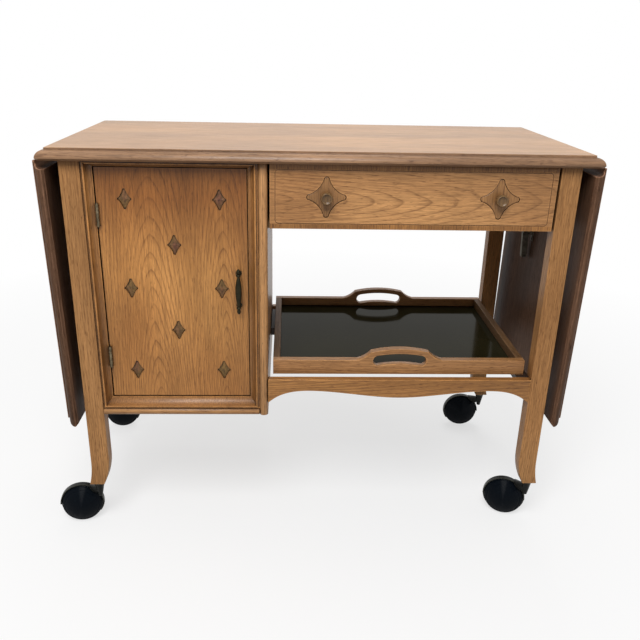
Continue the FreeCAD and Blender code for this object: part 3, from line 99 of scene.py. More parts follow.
# Colours, linear: light, middle and dark of each timber
OAK = ((0.54, 0.255, 0.078), (0.43, 0.190, 0.053), (0.13, 0.045, 0.012))
MUTED_OAK = ((0.55, 0.278, 0.105), (0.44, 0.207, 0.073), (0.13, 0.047, 0.014))
MOULD_OAK = ((0.46, 0.210, 0.062), (0.35, 0.152, 0.042), (0.10, 0.034, 0.009))
DOOR_OAK = ((0.80, 0.385, 0.118), (0.65, 0.295, 0.082), (0.20, 0.075, 0.020))
DRAWER_OAK = ((0.68, 0.350, 0.135), (0.57, 0.280, 0.105), (0.19, 0.080, 0.026))
ROSETTE_OAK = ((0.50, 0.250, 0.092), (0.39, 0.190, 0.068), (0.11, 0.042, 0.013))
KNOB_OAK = ((0.26, 0.150, 0.060), (0.17, 0.092, 0.037), (0.05, 0.022, 0.010))
TOP_OAK = ((0.55, 0.275, 0.086), (0.47, 0.222, 0.066), (0.22, 0.090, 0.027))
EDGE_OAK = ((0.40, 0.225, 0.120), (0.31, 0.165, 0.082), (0.10, 0.042, 0.018))
# Painted shade: a darker copy of the oak for the tray's side boards, as they lie in shade
SHADED_OAK = ((0.22, 0.118, 0.050), (0.155, 0.078, 0.031), (0.055, 0.023, 0.009))
# Leaf edges and inner face: a darker stain, darkened further as painted shade of the hanging leaf
LEAF_OAK = ((0.190, 0.102, 0.061), (0.136, 0.069, 0.039), (0.040, 0.019, 0.011))
INNER_OAK = ((0.58, 0.38, 0.19), (0.48, 0.29, 0.13), (0.30, 0.16, 0.065))
# Tray bearers: near-black, a dark stain with painted shade of their hidden place under the tray
STAIN_AND_SHADE = ((0.022, 0.013, 0.008), (0.016, 0.009, 0.006), (0.007, 0.004, 0.003))

# Colours, linear: inlays, dark finish and painted shade, dark patches, painted corner shade on metal, and
# dust
INLAY_RED = (0.150, 0.052, 0.034)
INLAY_OLIVE = (0.205, 0.122, 0.034)
INLAY_DARK = (0.034, 0.014, 0.008)
# Dark of the flecks, of the finish left in corners, and of the painted shade in corners, gaps and under
# overhangs
GLAZE_AND_SHADE = (0.028, 0.010, 0.004)
PATCH_DARKENING = (0.50, 0.40, 0.32)   # what a dark patch leaves of a colour; on the door's upper part it is painted shade under the top's overhang
# Painted shade in the corners of metal and plastic parts
CORNER_SHADE = (0.008, 0.006, 0.005)
DUST = (0.06, 0.055, 0.045)
BALL_DUST = (0.05, 0.048, 0.045)

# Colours, linear: clean and stained metal, plastic and laminate
STEEL = ((0.19, 0.17, 0.135), (0.09, 0.075, 0.058))
BRASS = ((0.23, 0.185, 0.115), (0.075, 0.058, 0.036))
IRON = ((0.016, 0.015, 0.007), (0.034, 0.028, 0.012))
BRONZE = ((0.010, 0.010, 0.008), (0.005, 0.005, 0.004))
PLASTIC = ((0.055, 0.030, 0.016), (0.075, 0.040, 0.022))
LAMINATE = ((0.015, 0.013, 0.005), (0.021, 0.0185, 0.008))
LAMINATE_TINT = (1.0, 0.95, 0.46)       # of its reflections
BALL = ((0.0012, 0.0030, 0.0058), (0.004, 0.007, 0.010))


# Node helpers
OCCLUSION_SAMPLES = 3


def linked(tree, value, socket):
    """Gives an input socket a number, a colour, a vector or another node's output."""
    if isinstance(value, (int, float)):
        socket.default_value = value
    elif isinstance(value, tuple):
        socket.default_value = (*value, 1) if socket.type == "RGBA" else value
    else:
        tree.links.new(value, socket)


def blank(name):
    """New node material with its tree and shader."""
    material = bpy.data.materials.new(name)
    material.use_nodes = True
    return material, material.node_tree, material.node_tree.nodes["Principled BSDF"]


def math_node(tree, operation, *values):
    """Math node on sockets or numbers; gives its output."""
    node = tree.nodes.new("ShaderNodeMath")
    node.operation = operation
    for socket, value in zip(node.inputs, values):
        linked(tree, value, socket)
    return node.outputs[0]


def product(tree, first, *others):
    """Product of sockets and numbers."""
    for other in others:
        first = math_node(tree, "MULTIPLY", first, other)
    return first


def ramp(tree, fac, *stops):
    """Colour ramp on a factor; stops are (place, colour or grey)."""
    node = tree.nodes.new("ShaderNodeValToRGB")
    elements = node.color_ramp.elements
    while len(elements) < len(stops):
        elements.new(0.5)
    for element, (place, colour) in zip(elements, stops):
        element.position = place
        grey = isinstance(colour, (int, float))
        element.color = (colour, colour, colour, 1) if grey else (*colour, 1)
    linked(tree, fac, node.inputs["Fac"])
    return node.outputs["Color"]


def mixed(tree, fac, first, second, mode="MIX"):
    """Mix of two colours."""
    node = tree.nodes.new("ShaderNodeMix")
    node.data_type = "RGBA"
    node.blend_type = mode
    for index, value in ((0, fac), (6, first), (7, second)):
        linked(tree, value, node.inputs[index])
    return node.outputs[2]


def vector_node(tree, operation, vector, other):
    """Vector math node; gives its vector output."""
    node = tree.nodes.new("ShaderNodeVectorMath")
    node.operation = operation
    linked(tree, vector, node.inputs[0])
    linked(tree, other, node.inputs[1])
    return node.outputs["Vector"]


def noise(tree, vector, scale, detail=2.0, roughness=0.55):
    """Noise stretched by a scale for each axis; gives its factor."""
    node = tree.nodes.new("ShaderNodeTexNoise")
    node.inputs["Scale"].default_value = 1.0
    node.inputs["Detail"].default_value = detail
    node.inputs["Roughness"].default_value = roughness
    linked(tree, vector_node(tree, "MULTIPLY", vector, scale), node.inputs["Vector"])
    return node.outputs["Fac"]


def cells(tree, vector, scale):
    """Cell pattern; gives the distance from the cells' middles and a random grey for each cell."""
    node = tree.nodes.new("ShaderNodeTexVoronoi")
    node.inputs["Scale"].default_value = 1.0
    linked(tree, vector_node(tree, "MULTIPLY", vector, scale), node.inputs["Vector"])
    return node.outputs["Distance"], node.outputs["Color"]


def occlusion(tree, distance, inside=False):
    """How open the surface lies; from inside, low values are thin edges and corners."""
    node = tree.nodes.new("ShaderNodeAmbientOcclusion")
    node.samples = OCCLUSION_SAMPLES
    node.inside = inside
    node.inputs["Distance"].default_value = distance
    return node.outputs["AO"]


def bumped(tree, shader, height, strength, distance):
    """Bump on a shader."""
    node = tree.nodes.new("ShaderNodeBump")
    node.inputs["Strength"].default_value = strength
    node.inputs["Distance"].default_value = distance
    linked(tree, height, node.inputs["Height"])
    linked(tree, node.outputs["Normal"], shader.inputs["Normal"])


def object_place(tree):
    """Place on the object, in metres."""
    return tree.nodes.new("ShaderNodeTexCoord").outputs["Object"]


def split(tree, vector):
    """The three parts of a vector."""
    node = tree.nodes.new("ShaderNodeSeparateXYZ")
    linked(tree, vector, node.inputs[0])
    return node.outputs


def middle(node):
    """Middle of a node's box."""
    low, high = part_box(node)
    return tuple((low + high) / 2)


# Timber: repeats of each pattern in a metre along the grain, across it and into it
WANDER_SCALE = (2.2, 7.0, 7.0)
RIPPLE_SCALE = (9.0, 55.0, 55.0)
BREAK_SCALE = (5.0, 20.0, 20.0)
TONE_SCALE = (2.6, 16.0, 16.0)
FIBRE_SCALE = (20.0, 640.0, 640.0)
COARSE_PORE_SCALE = (75.0, 520.0, 520.0)
FINE_PORE_SCALE = (50.0, 1100.0, 1100.0)
DRIFT_SCALE = (2.5, 8.0, 8.0)
SPECK_SCALE = (30.0, 58.0, 58.0)
EDGE_MARK_SCALE = (40.0, 90.0, 90.0)
MOTTLE_SCALE = (140.0, 220.0, 220.0)
HUE_SCALE = (11.0,) * 3

# Timber: rings and finish
POINTED = 0.12              # how far the arches of the rings come to a point
HEART_BLEND = 8 * MM        # how softly the rings of two hearts meet
RING_LEAN = 0.5             # how far the rings lean with depth
RIPPLE = 0.6                # unevenness of a ring, as a share of the spacing
EDGE_MARK_DEPTH = 2.5 * MM        # how far from an edge the edge mark reaches
COAT_SHARE = 0.24           # clear coat, as a share of the sheen
COAT_ROUGHNESS = 0.22
PLAIN = {
    "hearts": ((0.0, 0.25, 0.02, 0.05),),   # upper end, place across, slope and bend of the arches
    "patches": (),          # soft dark patches, some of them painted shade: along, across, half length, half width, strength
    "spacing": 5 * MM,      # from ring to ring
    "wander": 0.05,
    "figure": 0.50,         # strength of the ring lines
    "pores": 0.95,
    "flecks": 0.60,
    "glaze": 0.85,          # dark finish left in the corners, with painted shade there and under overhangs
    "corner": 5 * MM,       # how wide the dark finish and painted shade are at full strength
    "reach": 22 * MM,       # how far from a corner or overhang the painted shade fades out
    "wear": 0.35,           # strength of the edge mark: edges worn light with a painted highlight, or painted dark as shade at the gaps
    "pale": 1.35,           # how much lighter the edges are than the timber, below 1 for edges painted dark as shade
    "gloss": 0.36,
    "sheen": 0.35,          # specular level of the lacquer
}


def grain_space(tree, axes, node):
    """Place in the timber from a node's middle: along the grain, across it and into it."""
    parts = split(tree, vector_node(tree, "SUBTRACT", object_place(tree), middle(node)))
    turned = tree.nodes.new("ShaderNodeCombineXYZ")
    for socket, axis in zip(turned.inputs, axes):
        linked(tree, parts["xyz".index(axis)], socket)
    return turned.outputs[0]


def ring_field(tree, space, look):
    """Place within a growth ring, 0 to 1: arches about the nearest heart, straight lines far from it."""
    along, over, into = split(tree, space)
    drift = math_node(tree, "SUBTRACT", noise(tree, space, WANDER_SCALE), 0.5)
    over = math_node(tree, "MULTIPLY_ADD", drift, look["wander"], over)
    nearest = None
    for end, across, slope, bend in look["hearts"]:
        side = math_node(tree, "SUBTRACT", over, across)
        square = math_node(tree, "MULTIPLY_ADD", side, side, bend ** 2)
        arch = math_node(tree, "SUBTRACT", math_node(tree, "SQRT", square), bend)
        pointed = math_node(tree, "MULTIPLY_ADD", math_node(tree, "ABSOLUTE", side), POINTED, arch)
        fading = math_node(tree, "DIVIDE", slope * bend ** 2, square)
        below = math_node(tree, "SUBTRACT", along, end)
        far = math_node(tree, "MULTIPLY_ADD", below, fading, pointed)
        nearest = far if nearest is None else math_node(tree, "SMOOTH_MIN", nearest, far, HEART_BLEND)
    nearest = math_node(tree, "MULTIPLY_ADD", into, RING_LEAN, nearest)
    ripple = noise(tree, space, RIPPLE_SCALE)
    nearest = math_node(tree, "MULTIPLY_ADD", ripple, look["spacing"] * RIPPLE, nearest)
    return math_node(tree, "FRACT", math_node(tree, "DIVIDE", nearest, look["spacing"]))


def darkened_in_patches(tree, space, colour, patches):
    """Colour darkened by soft patches; a patch can stand for painted shade, as under an overhang."""
    for along, across, length, width, strength in patches:
        place = vector_node(tree, "SUBTRACT", space, (along, across, 0.0))
        place = vector_node(tree, "MULTIPLY", place, (1 / length, 1 / width, 0.0))
        soft = tree.nodes.new("ShaderNodeTexGradient")
        soft.gradient_type = "SPHERICAL"
        linked(tree, place, soft.inputs["Vector"])
        share = ramp(tree, soft.outputs["Fac"], (0.0, 0.0), (0.7, strength))
        colour = mixed(tree, share, colour, mixed(tree, 1.0, colour, PATCH_DARKENING, "MULTIPLY"))
    return colour


def timber(tree, space, tones, look):
    """Colour, relief and fibre of sawn timber: rings, fibres, pores and tonal drift."""
    light, mid, dark = tones
    ring = ring_field(tree, space, look)
    belt = ramp(tree, ring, (0.0, 0.9), (0.07, 0.12), (0.55, 0.0), (0.84, 0.30), (1.0, 1.0))
    broken = ramp(tree, noise(tree, space, BREAK_SCALE), (0.34, 0.25), (0.58, 1.0))
    colour = ramp(tree, noise(tree, space, TONE_SCALE, 3.0), (0.32, mid), (0.68, light))
    colour = mixed(tree, product(tree, belt, broken, look["figure"]), colour, dark)

    fibre = noise(tree, space, FIBRE_SCALE, 2.0, 0.6)
    colour = mixed(tree, 1.0, colour, ramp(tree, fibre, (0.30, 0.68), (0.66, 1.12)), "MULTIPLY")

    coarse = ramp(tree, noise(tree, space, COARSE_PORE_SCALE, 1.0), (0.59, 0.0), (0.69, 1.0))
    fine = ramp(tree, noise(tree, space, FINE_PORE_SCALE, 1.0), (0.56, 0.0), (0.66, 0.9))
    open_pores = math_node(tree, "MULTIPLY_ADD", belt, 0.55, 0.45)
    pore = product(tree, math_node(tree, "MAXIMUM", coarse, fine), open_pores)
    colour = mixed(tree, product(tree, pore, look["pores"]), colour, dark)

    drift = ramp(tree, noise(tree, space, DRIFT_SCALE), (0.28, 0.72), (0.72, 1.12))
    colour = mixed(tree, 1.0, colour, drift, "MULTIPLY")
    colour = darkened_in_patches(tree, space, colour, look["patches"])
    relief = math_node(tree, "SUBTRACT", product(tree, fibre, 0.5), pore)
    return colour, relief, fibre


def lacquer(tree, shader, space, grain, tones, look):
    """Finish over timber: specks, edges worn light with a painted highlight or painted dark as shade, dark
    finish and painted shade in the corners and under overhangs, gloss and bump.
    """
    colour, relief, fibre = grain
    distance, chance = cells(tree, space, SPECK_SCALE)
    chosen = ramp(tree, chance, (0.62, 0.0), (0.70, 1.0))
    speck = product(tree, ramp(tree, distance, (0.0, 1.0), (0.085, 0.0)), chosen, look["flecks"])
    colour = mixed(tree, speck, colour, GLAZE_AND_SHADE)

    # Edge mark: edges worn light with a painted highlight along the arrises; where pale is below 1, edges
    # painted dark as shade at the gaps
    edge_mask = ramp(tree, occlusion(tree, EDGE_MARK_DEPTH, True), (0.42, 1.0), (0.80, 0.0))
    patchy = ramp(tree, noise(tree, space, EDGE_MARK_SCALE), (0.36, 0.3), (0.58, 1.0))
    pale = tuple(min(1.0, look["pale"] * part) for part in tones[0])
    colour = mixed(tree, product(tree, edge_mask, patchy, look["wear"]), colour, pale)

    # Dark finish in the corners with painted shade: darker where the surface is closed in, in corners, gaps
    # and under overhangs
    near = ramp(tree, occlusion(tree, look["corner"]), (0.40, 1.0), (0.88, 0.0))
    wide = ramp(tree, occlusion(tree, look["reach"]), (0.25, 0.75), (0.90, 0.0))
    shade = math_node(tree, "MAXIMUM", near, wide)
    colour = mixed(tree, product(tree, shade, look["glaze"]), colour, GLAZE_AND_SHADE)
    linked(tree, colour, shader.inputs["Base Color"])

    gloss = look["gloss"]
    linked(tree, ramp(tree, fibre, (0.2, gloss + 0.12), (0.8, gloss - 0.05)), shader.inputs["Roughness"])
    shader.inputs["Specular IOR Level"].default_value = look["sheen"]
    shader.inputs["Coat Weight"].default_value = COAT_SHARE * look["sheen"]
    shader.inputs["Coat Roughness"].default_value = COAT_ROUGHNESS
    bumped(tree, shader, math_node(tree, "SUBTRACT", relief, speck), strength=0.16, distance=0.25 * MM)


def wood(name, axes, node, tones, **changes):
    """Lacquered timber placed about a node, its grain along the first of the axes."""
    material, tree, shader = blank(name)
    look = {**PLAIN, **changes}
    space = grain_space(tree, axes, node)
    lacquer(tree, shader, space, timber(tree, space, tones, look), tones, look)
    return material


def banded_wood(name, node, tones, band_tones, **changes):
    """Figured panel along X, with a cross-grained band at its upper and lower edge."""
    material, tree, shader = blank(name)
    look = {**PLAIN, **changes}
    space = grain_space(tree, "xzy", node)
    panel = timber(tree, space, tones, look)
    band = timber(tree, grain_space(tree, "zxy", node), band_tones, {**PLAIN, "pores": 1.0})
    low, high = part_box(node)
    height = math_node(tree, "ABSOLUTE", split(tree, space)[1])
    outside = math_node(tree, "GREATER_THAN", height, (high.z - low.z) / 2 - BAND_WIDTH)
    grain = [mixed(tree, outside, inner, outer) for inner, outer in zip(panel, band)]
    lacquer(tree, shader, space, grain, tones, look)
    return material


def inlay(name, node):
    """Dark inlays, some redder and some more olive, with a mottled grain."""
    material, tree, shader = blank(name)
    look = {**PLAIN, "figure": 0.3, "glaze": 1.0, "gloss": 0.45, "flecks": 0.9, "sheen": 0.3}
    space = grain_space(tree, "zxy", node)
    hue = noise(tree, space, HUE_SCALE, 0.0)
    hue = ramp(tree, hue, (0.42, INLAY_RED), (0.58, INLAY_OLIVE))
    mottle = ramp(tree, noise(tree, space, MOTTLE_SCALE), (0.35, 0.50), (0.65, 1.45))
    tones = (INLAY_OLIVE, INLAY_RED, INLAY_DARK)
    colour, relief, fibre = timber(tree, space, tones, look)
    colour = mixed(tree, 0.6, colour, hue)
    colour = mixed(tree, 1.0, colour, mottle, "MULTIPLY")
    lacquer(tree, shader, space, (colour, relief, fibre), tones, look)
    return material


# Metal, plastic and laminate: repeats of each pattern in a metre, and shares of painted corner shade and
# dust
STAIN_SCALE = (90.0,) * 3
GRIT_SCALE = (1300.0,) * 3
SMEAR_SCALE = (9.0, 5.0, 5.0)
SCRATCH_SCALE = (12.0, 1400.0, 1.0)
DUST_SCALE = (900.0,) * 3
SCUFF_SCALE = (130.0,) * 3
BALL_DUST_SCALE = (1200.0,) * 3
METAL_RUB_DEPTH = 1.2 * MM
CORNER_SHADE_REACH = 4 * MM
CORNER_SHADE_SHARE = 0.7
DUST_SHARE = 0.25
BALL_DUST_SHARE = 0.12


def metal(name, tones, roughness, metallic=1.0, wear=0.3, pale=2.4):
    """Aged metal or plastic with stains, worn light edges and painted shade in the corners."""
    clean, stained = tones
    material, tree, shader = blank(name)
    place = object_place(tree)
    stain = noise(tree, place, STAIN_SCALE, 4.0, 0.6)
    fine = noise(tree, place, GRIT_SCALE, 2.0, 0.6)
    colour = mixed(tree, ramp(tree, stain, (0.38, 0.0), (0.68, 1.0)), clean, stained)
    colour = mixed(tree, 0.5, colour, ramp(tree, fine, (0.3, 0.7), (0.7, 1.1)), "MULTIPLY")
    edge_mask = ramp(tree, occlusion(tree, METAL_RUB_DEPTH, True), (0.40, 1.0), (0.75, 0.0))
    bright = tuple(min(1.0, pale * part) for part in clean)
    colour = mixed(tree, product(tree, edge_mask, wear), colour, bright)
    # Painted shade: darker where the part is closed in, in corners and recesses
    shade = ramp(tree, occlusion(tree, CORNER_SHADE_REACH), (0.35, 1.0), (0.85, 0.0))
    colour = mixed(tree, product(tree, shade, CORNER_SHADE_SHARE), colour, CORNER_SHADE)
    linked(tree, colour, shader.inputs["Base Color"])
    linked(tree, ramp(tree, stain, (0.3, roughness + 0.12), (0.7, roughness - 0.06)),
           shader.inputs["Roughness"])
    shader.inputs["Metallic"].default_value = metallic
    bumped(tree, shader, fine, strength=0.12, distance=0.2 * MM)
    return material


def laminate(name):
    """Polished black laminate with faint smears, hair scratches and dust."""
    material, tree, shader = blank(name)
    place = object_place(tree)
    smear = noise(tree, place, SMEAR_SCALE, 4.0, 0.6)
    scratch = ramp(tree, noise(tree, place, SCRATCH_SCALE, 1.0), (0.68, 0.0), (0.72, 1.0))
    dust = ramp(tree, noise(tree, place, DUST_SCALE), (0.66, 0.0), (0.74, 1.0))
    colour = mixed(tree, ramp(tree, smear, (0.35, 0.0), (0.75, 1.0)), *LAMINATE)
    colour = mixed(tree, product(tree, dust, DUST_SHARE), colour, DUST)
    linked(tree, colour, shader.inputs["Base Color"])
    rough = ramp(tree, smear, (0.3, 0.06), (0.75, 0.14))
    linked(tree, math_node(tree, "MULTIPLY_ADD", scratch, 0.06, rough), shader.inputs["Roughness"])
    shader.inputs["Specular IOR Level"].default_value = 0.042
    shader.inputs["Specular Tint"].default_value = (*LAMINATE_TINT, 1)
    bumped(tree, shader, scratch, strength=0.03, distance=0.05 * MM)
    return material


def ball(name):
    """Moulded black caster ball about its own axle: turned rings, dust and scuffs."""
    material, tree, shader = blank(name)
    place = object_place(tree)
    out, over, _ = split(tree, place)
    radius = math_node(tree, "SQRT", math_node(tree, "ADD", product(tree, out, out),
                                               product(tree, over, over)))
    turned = math_node(tree, "SINE", product(tree, radius, 2 * math.pi / TURNED_PITCH))
    scuff = noise(tree, place, SCUFF_SCALE, 5.0, 0.65)
    dust = ramp(tree, noise(tree, place, BALL_DUST_SCALE), (0.64, 0.0), (0.72, 1.0))
    colour = mixed(tree, ramp(tree, scuff, (0.52, 0.0), (0.78, 1.0)), *BALL)
    colour = mixed(tree, product(tree, dust, BALL_DUST_SHARE), colour, BALL_DUST)
    linked(tree, colour, shader.inputs["Base Color"])
    linked(tree, ramp(tree, scuff, (0.35, 0.32), (0.75, 0.46)), shader.inputs["Roughness"])
    shader.inputs["Specular IOR Level"].default_value = 0.07
    shader.inputs["Anisotropic"].default_value = 1.0
    shader.inputs["Anisotropic Rotation"].default_value = 0.25
    around = tree.nodes.new("ShaderNodeTangent")
    around.direction_type = "RADIAL"
    around.axis = "Z"
    linked(tree, around.outputs[0], shader.inputs["Tangent"])
    bumped(tree, shader, turned, strength=0.10, distance=0.2 * MM)
    return material


# Shapes


def clean_copy(node):
    """Editable copy of a node's shape, its flat faces whole again."""
    shape = bmesh.new()
    shape.from_mesh(nodes[node].data)
    bmesh.ops.remove_doubles(shape, verts=shape.verts, dist=WELD)
    bmesh.ops.dissolve_limit(shape, angle_limit=FLAT_ANGLE, verts=shape.verts, edges=shape.edges)
    shape.normal_update()
    return shape


def new_piece(name, shape, body, slot, *materials):
    """Scene piece from a shape, riding on a body."""
    mesh = bpy.data.meshes.new(name)
    shape.to_mesh(mesh)
    shape.free()
    for material in materials:
        mesh.materials.append(material)
    piece = bpy.data.objects.new(name, mesh)
    bpy.context.scene.collection.objects.link(piece)
    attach(piece, body)
    return piece


def stand_in(node, suffix, shape, *materials):
    """Piece that takes the place of a node."""
    piece = new_piece(node + suffix, shape, body_of_node[node], slot_of_node[node], *materials)
    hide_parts(node)
    return piece


def eased(node, width, *materials, show=None):
    """Copy of a node with its edges rounded; its largest face along show takes the second material."""
    shape = clean_copy(node)
    for face in shape.faces:
        longest = max(edge.calc_length() for edge in face.edges)
        face.smooth = face.calc_area() < FLAT_WIDTH * longest
    if show is not None:
        fits = [face for face in shape.faces if face.normal.dot(show) > FACING]
        max(fits, key=lambda face: face.calc_area()).material_index = 1
    piece = stand_in(node, "_eased", shape, *materials)
    bevel = piece.modifiers.new("eased", "BEVEL")
    bevel.width = width
    bevel.segments = EASE_STEPS
    bevel.limit_method = "ANGLE"
    bevel.angle_limit = EASE_ANGLE
    bevel.harden_normals = True
    return piece


def faceted(node, material):
    """Copy of flat inlays, each rising from a low rim to a point in its middle."""
    shape = clean_copy(node)
    fronts = [face for face in shape.faces if face.normal.y < -SQUARE_ON]
    for vert in {vert for face in fronts for vert in face.verts}:
        vert.co.y += LOZENGE_RIM
    bmesh.ops.poke(shape, faces=fronts, offset=LOZENGE_RIDGE)
    for face in shape.faces:
        face.smooth = False
    return stand_in(node, "_faceted", shape, material)


def wheel_profile():
    """Half outline of a caster wheel: (distance from the axle, height along it)."""
    rise = DOME_TOP - DOME_EDGE
    radius = (DOME_RIM ** 2 + rise ** 2) / (2 * rise)
    end = math.asin(DOME_RIM / radius)
    profile = [(0.0, DOME_TOP)]
    for step in range(1, DOME_STEPS + 1):
        share = step / DOME_STEPS
        sunk = DOME_GROOVE if DOME_GROOVE_AT[0] <= share <= DOME_GROOVE_AT[1] else 0.0
        reach = radius - sunk
        profile.append((reach * math.sin(share * end), DOME_TOP - radius + reach * math.cos(share * end)))
    for step in range(CROWN_STEPS + 1):
        share = step / CROWN_STEPS
        crown = TYRE_CROWN * (1 - (2 * share - 1) ** 2)
        profile.append((TYRE_SEAT + crown, TYRE_FRONT + share * (TYRE_BACK - TYRE_FRONT)))
    profile += [(HUB_RADIUS, TYRE_BACK), (HUB_RADIUS, HUB_BACK), (BORE_RADIUS, HUB_BACK), (BORE_RADIUS, 0.0)]
    return profile


def wheel(node, joint, material):
    """Turned wheel with a notched tread, drawn about its axle and set at its joint."""
    shape = bmesh.new()
    rings = []
    for radius, height in wheel_profile():
        if radius == 0:
            rings.append([shape.verts.new((0, 0, height))] * TREAD_STEPS)
            continue
        ring = []
        for step in range(TREAD_STEPS):
            notch = TREAD_NOTCH if radius > DOME_RIM and step % TREAD_PITCH == 0 else 0.0
            turn = 2 * math.pi * step / TREAD_STEPS
            ring.append(shape.verts.new(((radius - notch) * math.cos(turn),
                                         (radius - notch) * math.sin(turn), height)))
        rings.append(ring)
    for upper, lower in zip(rings, rings[1:]):
        for step in range(TREAD_STEPS):
            after = (step + 1) % TREAD_STEPS
            corners = (upper[step], lower[step], lower[after], upper[after])
            face = shape.faces.new(list(dict.fromkeys(corners)))
            face.smooth = True
    bmesh.ops.recalc_face_normals(shape, faces=shape.faces)
    piece = stand_in(node, "_turned", shape, material)
    turn = Vector(joint["axis"]).to_track_quat("Z", "Y").to_matrix().to_4x4()
    piece.matrix_world = Matrix.Translation(Vector(joint["pos_m"])) @ turn
    return piece


def islands(shape):
    """Groups of faces that hang together."""
    left = dict.fromkeys(shape.faces)
    groups = []
    while left:
        waiting = [left.popitem()[0]]
        group = []
        while waiting:
            face = waiting.pop()
            group.append(face)
            for near in (other for edge in face.edges for other in edge.link_faces):
                if near in left:
                    del left[near]
                    waiting.append(near)
        groups.append(group)
    return groups


def screw_head(shape, place, normal):
    """Adds a domed, slotted screw head to a shape."""
    turn = normal.to_track_quat("Z", "Y").to_matrix()
    rings = []
    for share in SCREW_RINGS:
        height = SCREW_RISE * math.sqrt(1 - share ** 2)
        ring = []
        for step in range(SCREW_STEPS):
            angle = 2 * math.pi * step / SCREW_STEPS
            spot = Vector((math.cos(angle), math.sin(angle), 0)) * SCREW_RADIUS * share
            in_slot = share < 1 and abs(spot.y) < SCREW_SLOT / 2
            spot.z = height - (SCREW_SLOT if in_slot else 0)
            ring.append(shape.verts.new(place + turn @ spot))
        rings.append(ring)
    for outer, inner in zip(rings, rings[1:]):
        for step in range(SCREW_STEPS):
            after = (step + 1) % SCREW_STEPS
            shape.faces.new((outer[step], outer[after], inner[after], inner[step]))
    shape.faces.new(rings[-1])


def screws(node, facing, material):
    """Screw heads along the long way of each plate of a node, on the face that looks along facing."""
    source = clean_copy(node)
    heads = bmesh.new()
    for group in islands(source):
        fits = [face for face in group if face.normal.dot(facing) > FACING]
        plate = max(fits, key=lambda face: face.calc_area())
        longest = max(plate.edges, key=lambda edge: edge.calc_length())
        way = longest.verts[1].co - longest.verts[0].co
        for share in SCREW_PLACES:
            screw_head(heads, plate.calc_center_bounds() + way * share, plate.normal)
    source.free()
    return new_piece(node + "_screws", heads, body_of_node[node], slot_of_node[node], material)


# Finishes
door_low, door_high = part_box("door_panel")
DOOR_WIDTH = door_high.x - door_low.x
DOOR_HEIGHT = door_high.z - door_low.z
DOOR_HEARTS = (
    (0.36 * DOOR_HEIGHT, -0.15 * DOOR_WIDTH, 0.20, 48 * MM),
    (0.36 * DOOR_HEIGHT, 0.33 * DOOR_WIDTH, 0.22, 34 * MM),
)
# The first patch is painted shade: the door's upper part darkened as under the top's overhang. The others
# darken it lower left, at the bottom right and along the right edge.
DOOR_PATCHES = (
    (0.50 * DOOR_HEIGHT, 0.0, 0.45 * DOOR_HEIGHT, 1.6 * DOOR_WIDTH, 1.0),
    (-0.25 * DOOR_HEIGHT, -0.30 * DOOR_WIDTH, 0.45 * DOOR_HEIGHT, 0.45 * DOOR_WIDTH, 0.50),
    (-0.45 * DOOR_HEIGHT, 0.30 * DOOR_WIDTH, 0.30 * DOOR_HEIGHT, 0.60 * DOOR_WIDTH, 0.50),
    (0.10 * DOOR_HEIGHT, 0.48 * DOOR_WIDTH, 0.50 * DOOR_HEIGHT, 0.20 * DOOR_WIDTH, 0.40),
)
drawer_low, drawer_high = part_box("drawer_front")
DRAWER_WIDTH = drawer_high.x - drawer_low.x
DRAWER_HEIGHT = drawer_high.z - drawer_low.z
DRAWER_HEARTS = ((0.32 * DRAWER_WIDTH, -4 * MM, 0.15, 55 * MM),)
DRAWER_PATCHES = (
    (-0.42 * DRAWER_WIDTH, 0.0, 0.25 * DRAWER_WIDTH, 1.2 * DRAWER_HEIGHT, 0.45),
    (0.45 * DRAWER_WIDTH, -0.1 * DRAWER_HEIGHT, 0.18 * DRAWER_WIDTH, DRAWER_HEIGHT, 0.30),
)
TOP_HEARTS = ((0.3, 0.1, 0.02, 0.30),)
top_wood = wood("top_oak", "xyz", "top_panel", TOP_OAK, hearts=TOP_HEARTS, figure=0.35, pores=0.55,
                gloss=0.32, sheen=0.45)
edge_wood = wood("edge_oak", "xyz", "top_panel", EDGE_OAK, figure=0.25, wear=0.6)
leg_wood = wood("leg_oak", "zxy", "front_left_leg", MUTED_OAK, figure=0.28, pores=0.8, flecks=0.95,
                gloss=0.42, sheen=0.2)
rail_wood = wood("rail_oak", "xzy", "front_rail", OAK, hearts=((0.2, 0.04, 0.06, 0.05),), figure=0.7,
                 wear=0.9, pale=1.8)
# The moulding's broad corner and reach paint shade into its hollow and against the leg
mould_wood = wood("moulding_oak", "zxy", "door_mouldings", MOULD_OAK, figure=0.30, wear=1.0, pale=1.9,
                  glaze=1.0, corner=13 * MM, reach=34 * MM)
# On the bead, door, rosettes and stile pale is below 1: their edges are painted dark as shade at the gaps
bead_wood = wood("bead_oak", "xzy", "cabinet_base_bead", MUTED_OAK, figure=0.30, wear=0.9, pale=0.3,
                 glaze=1.0, corner=10 * MM)
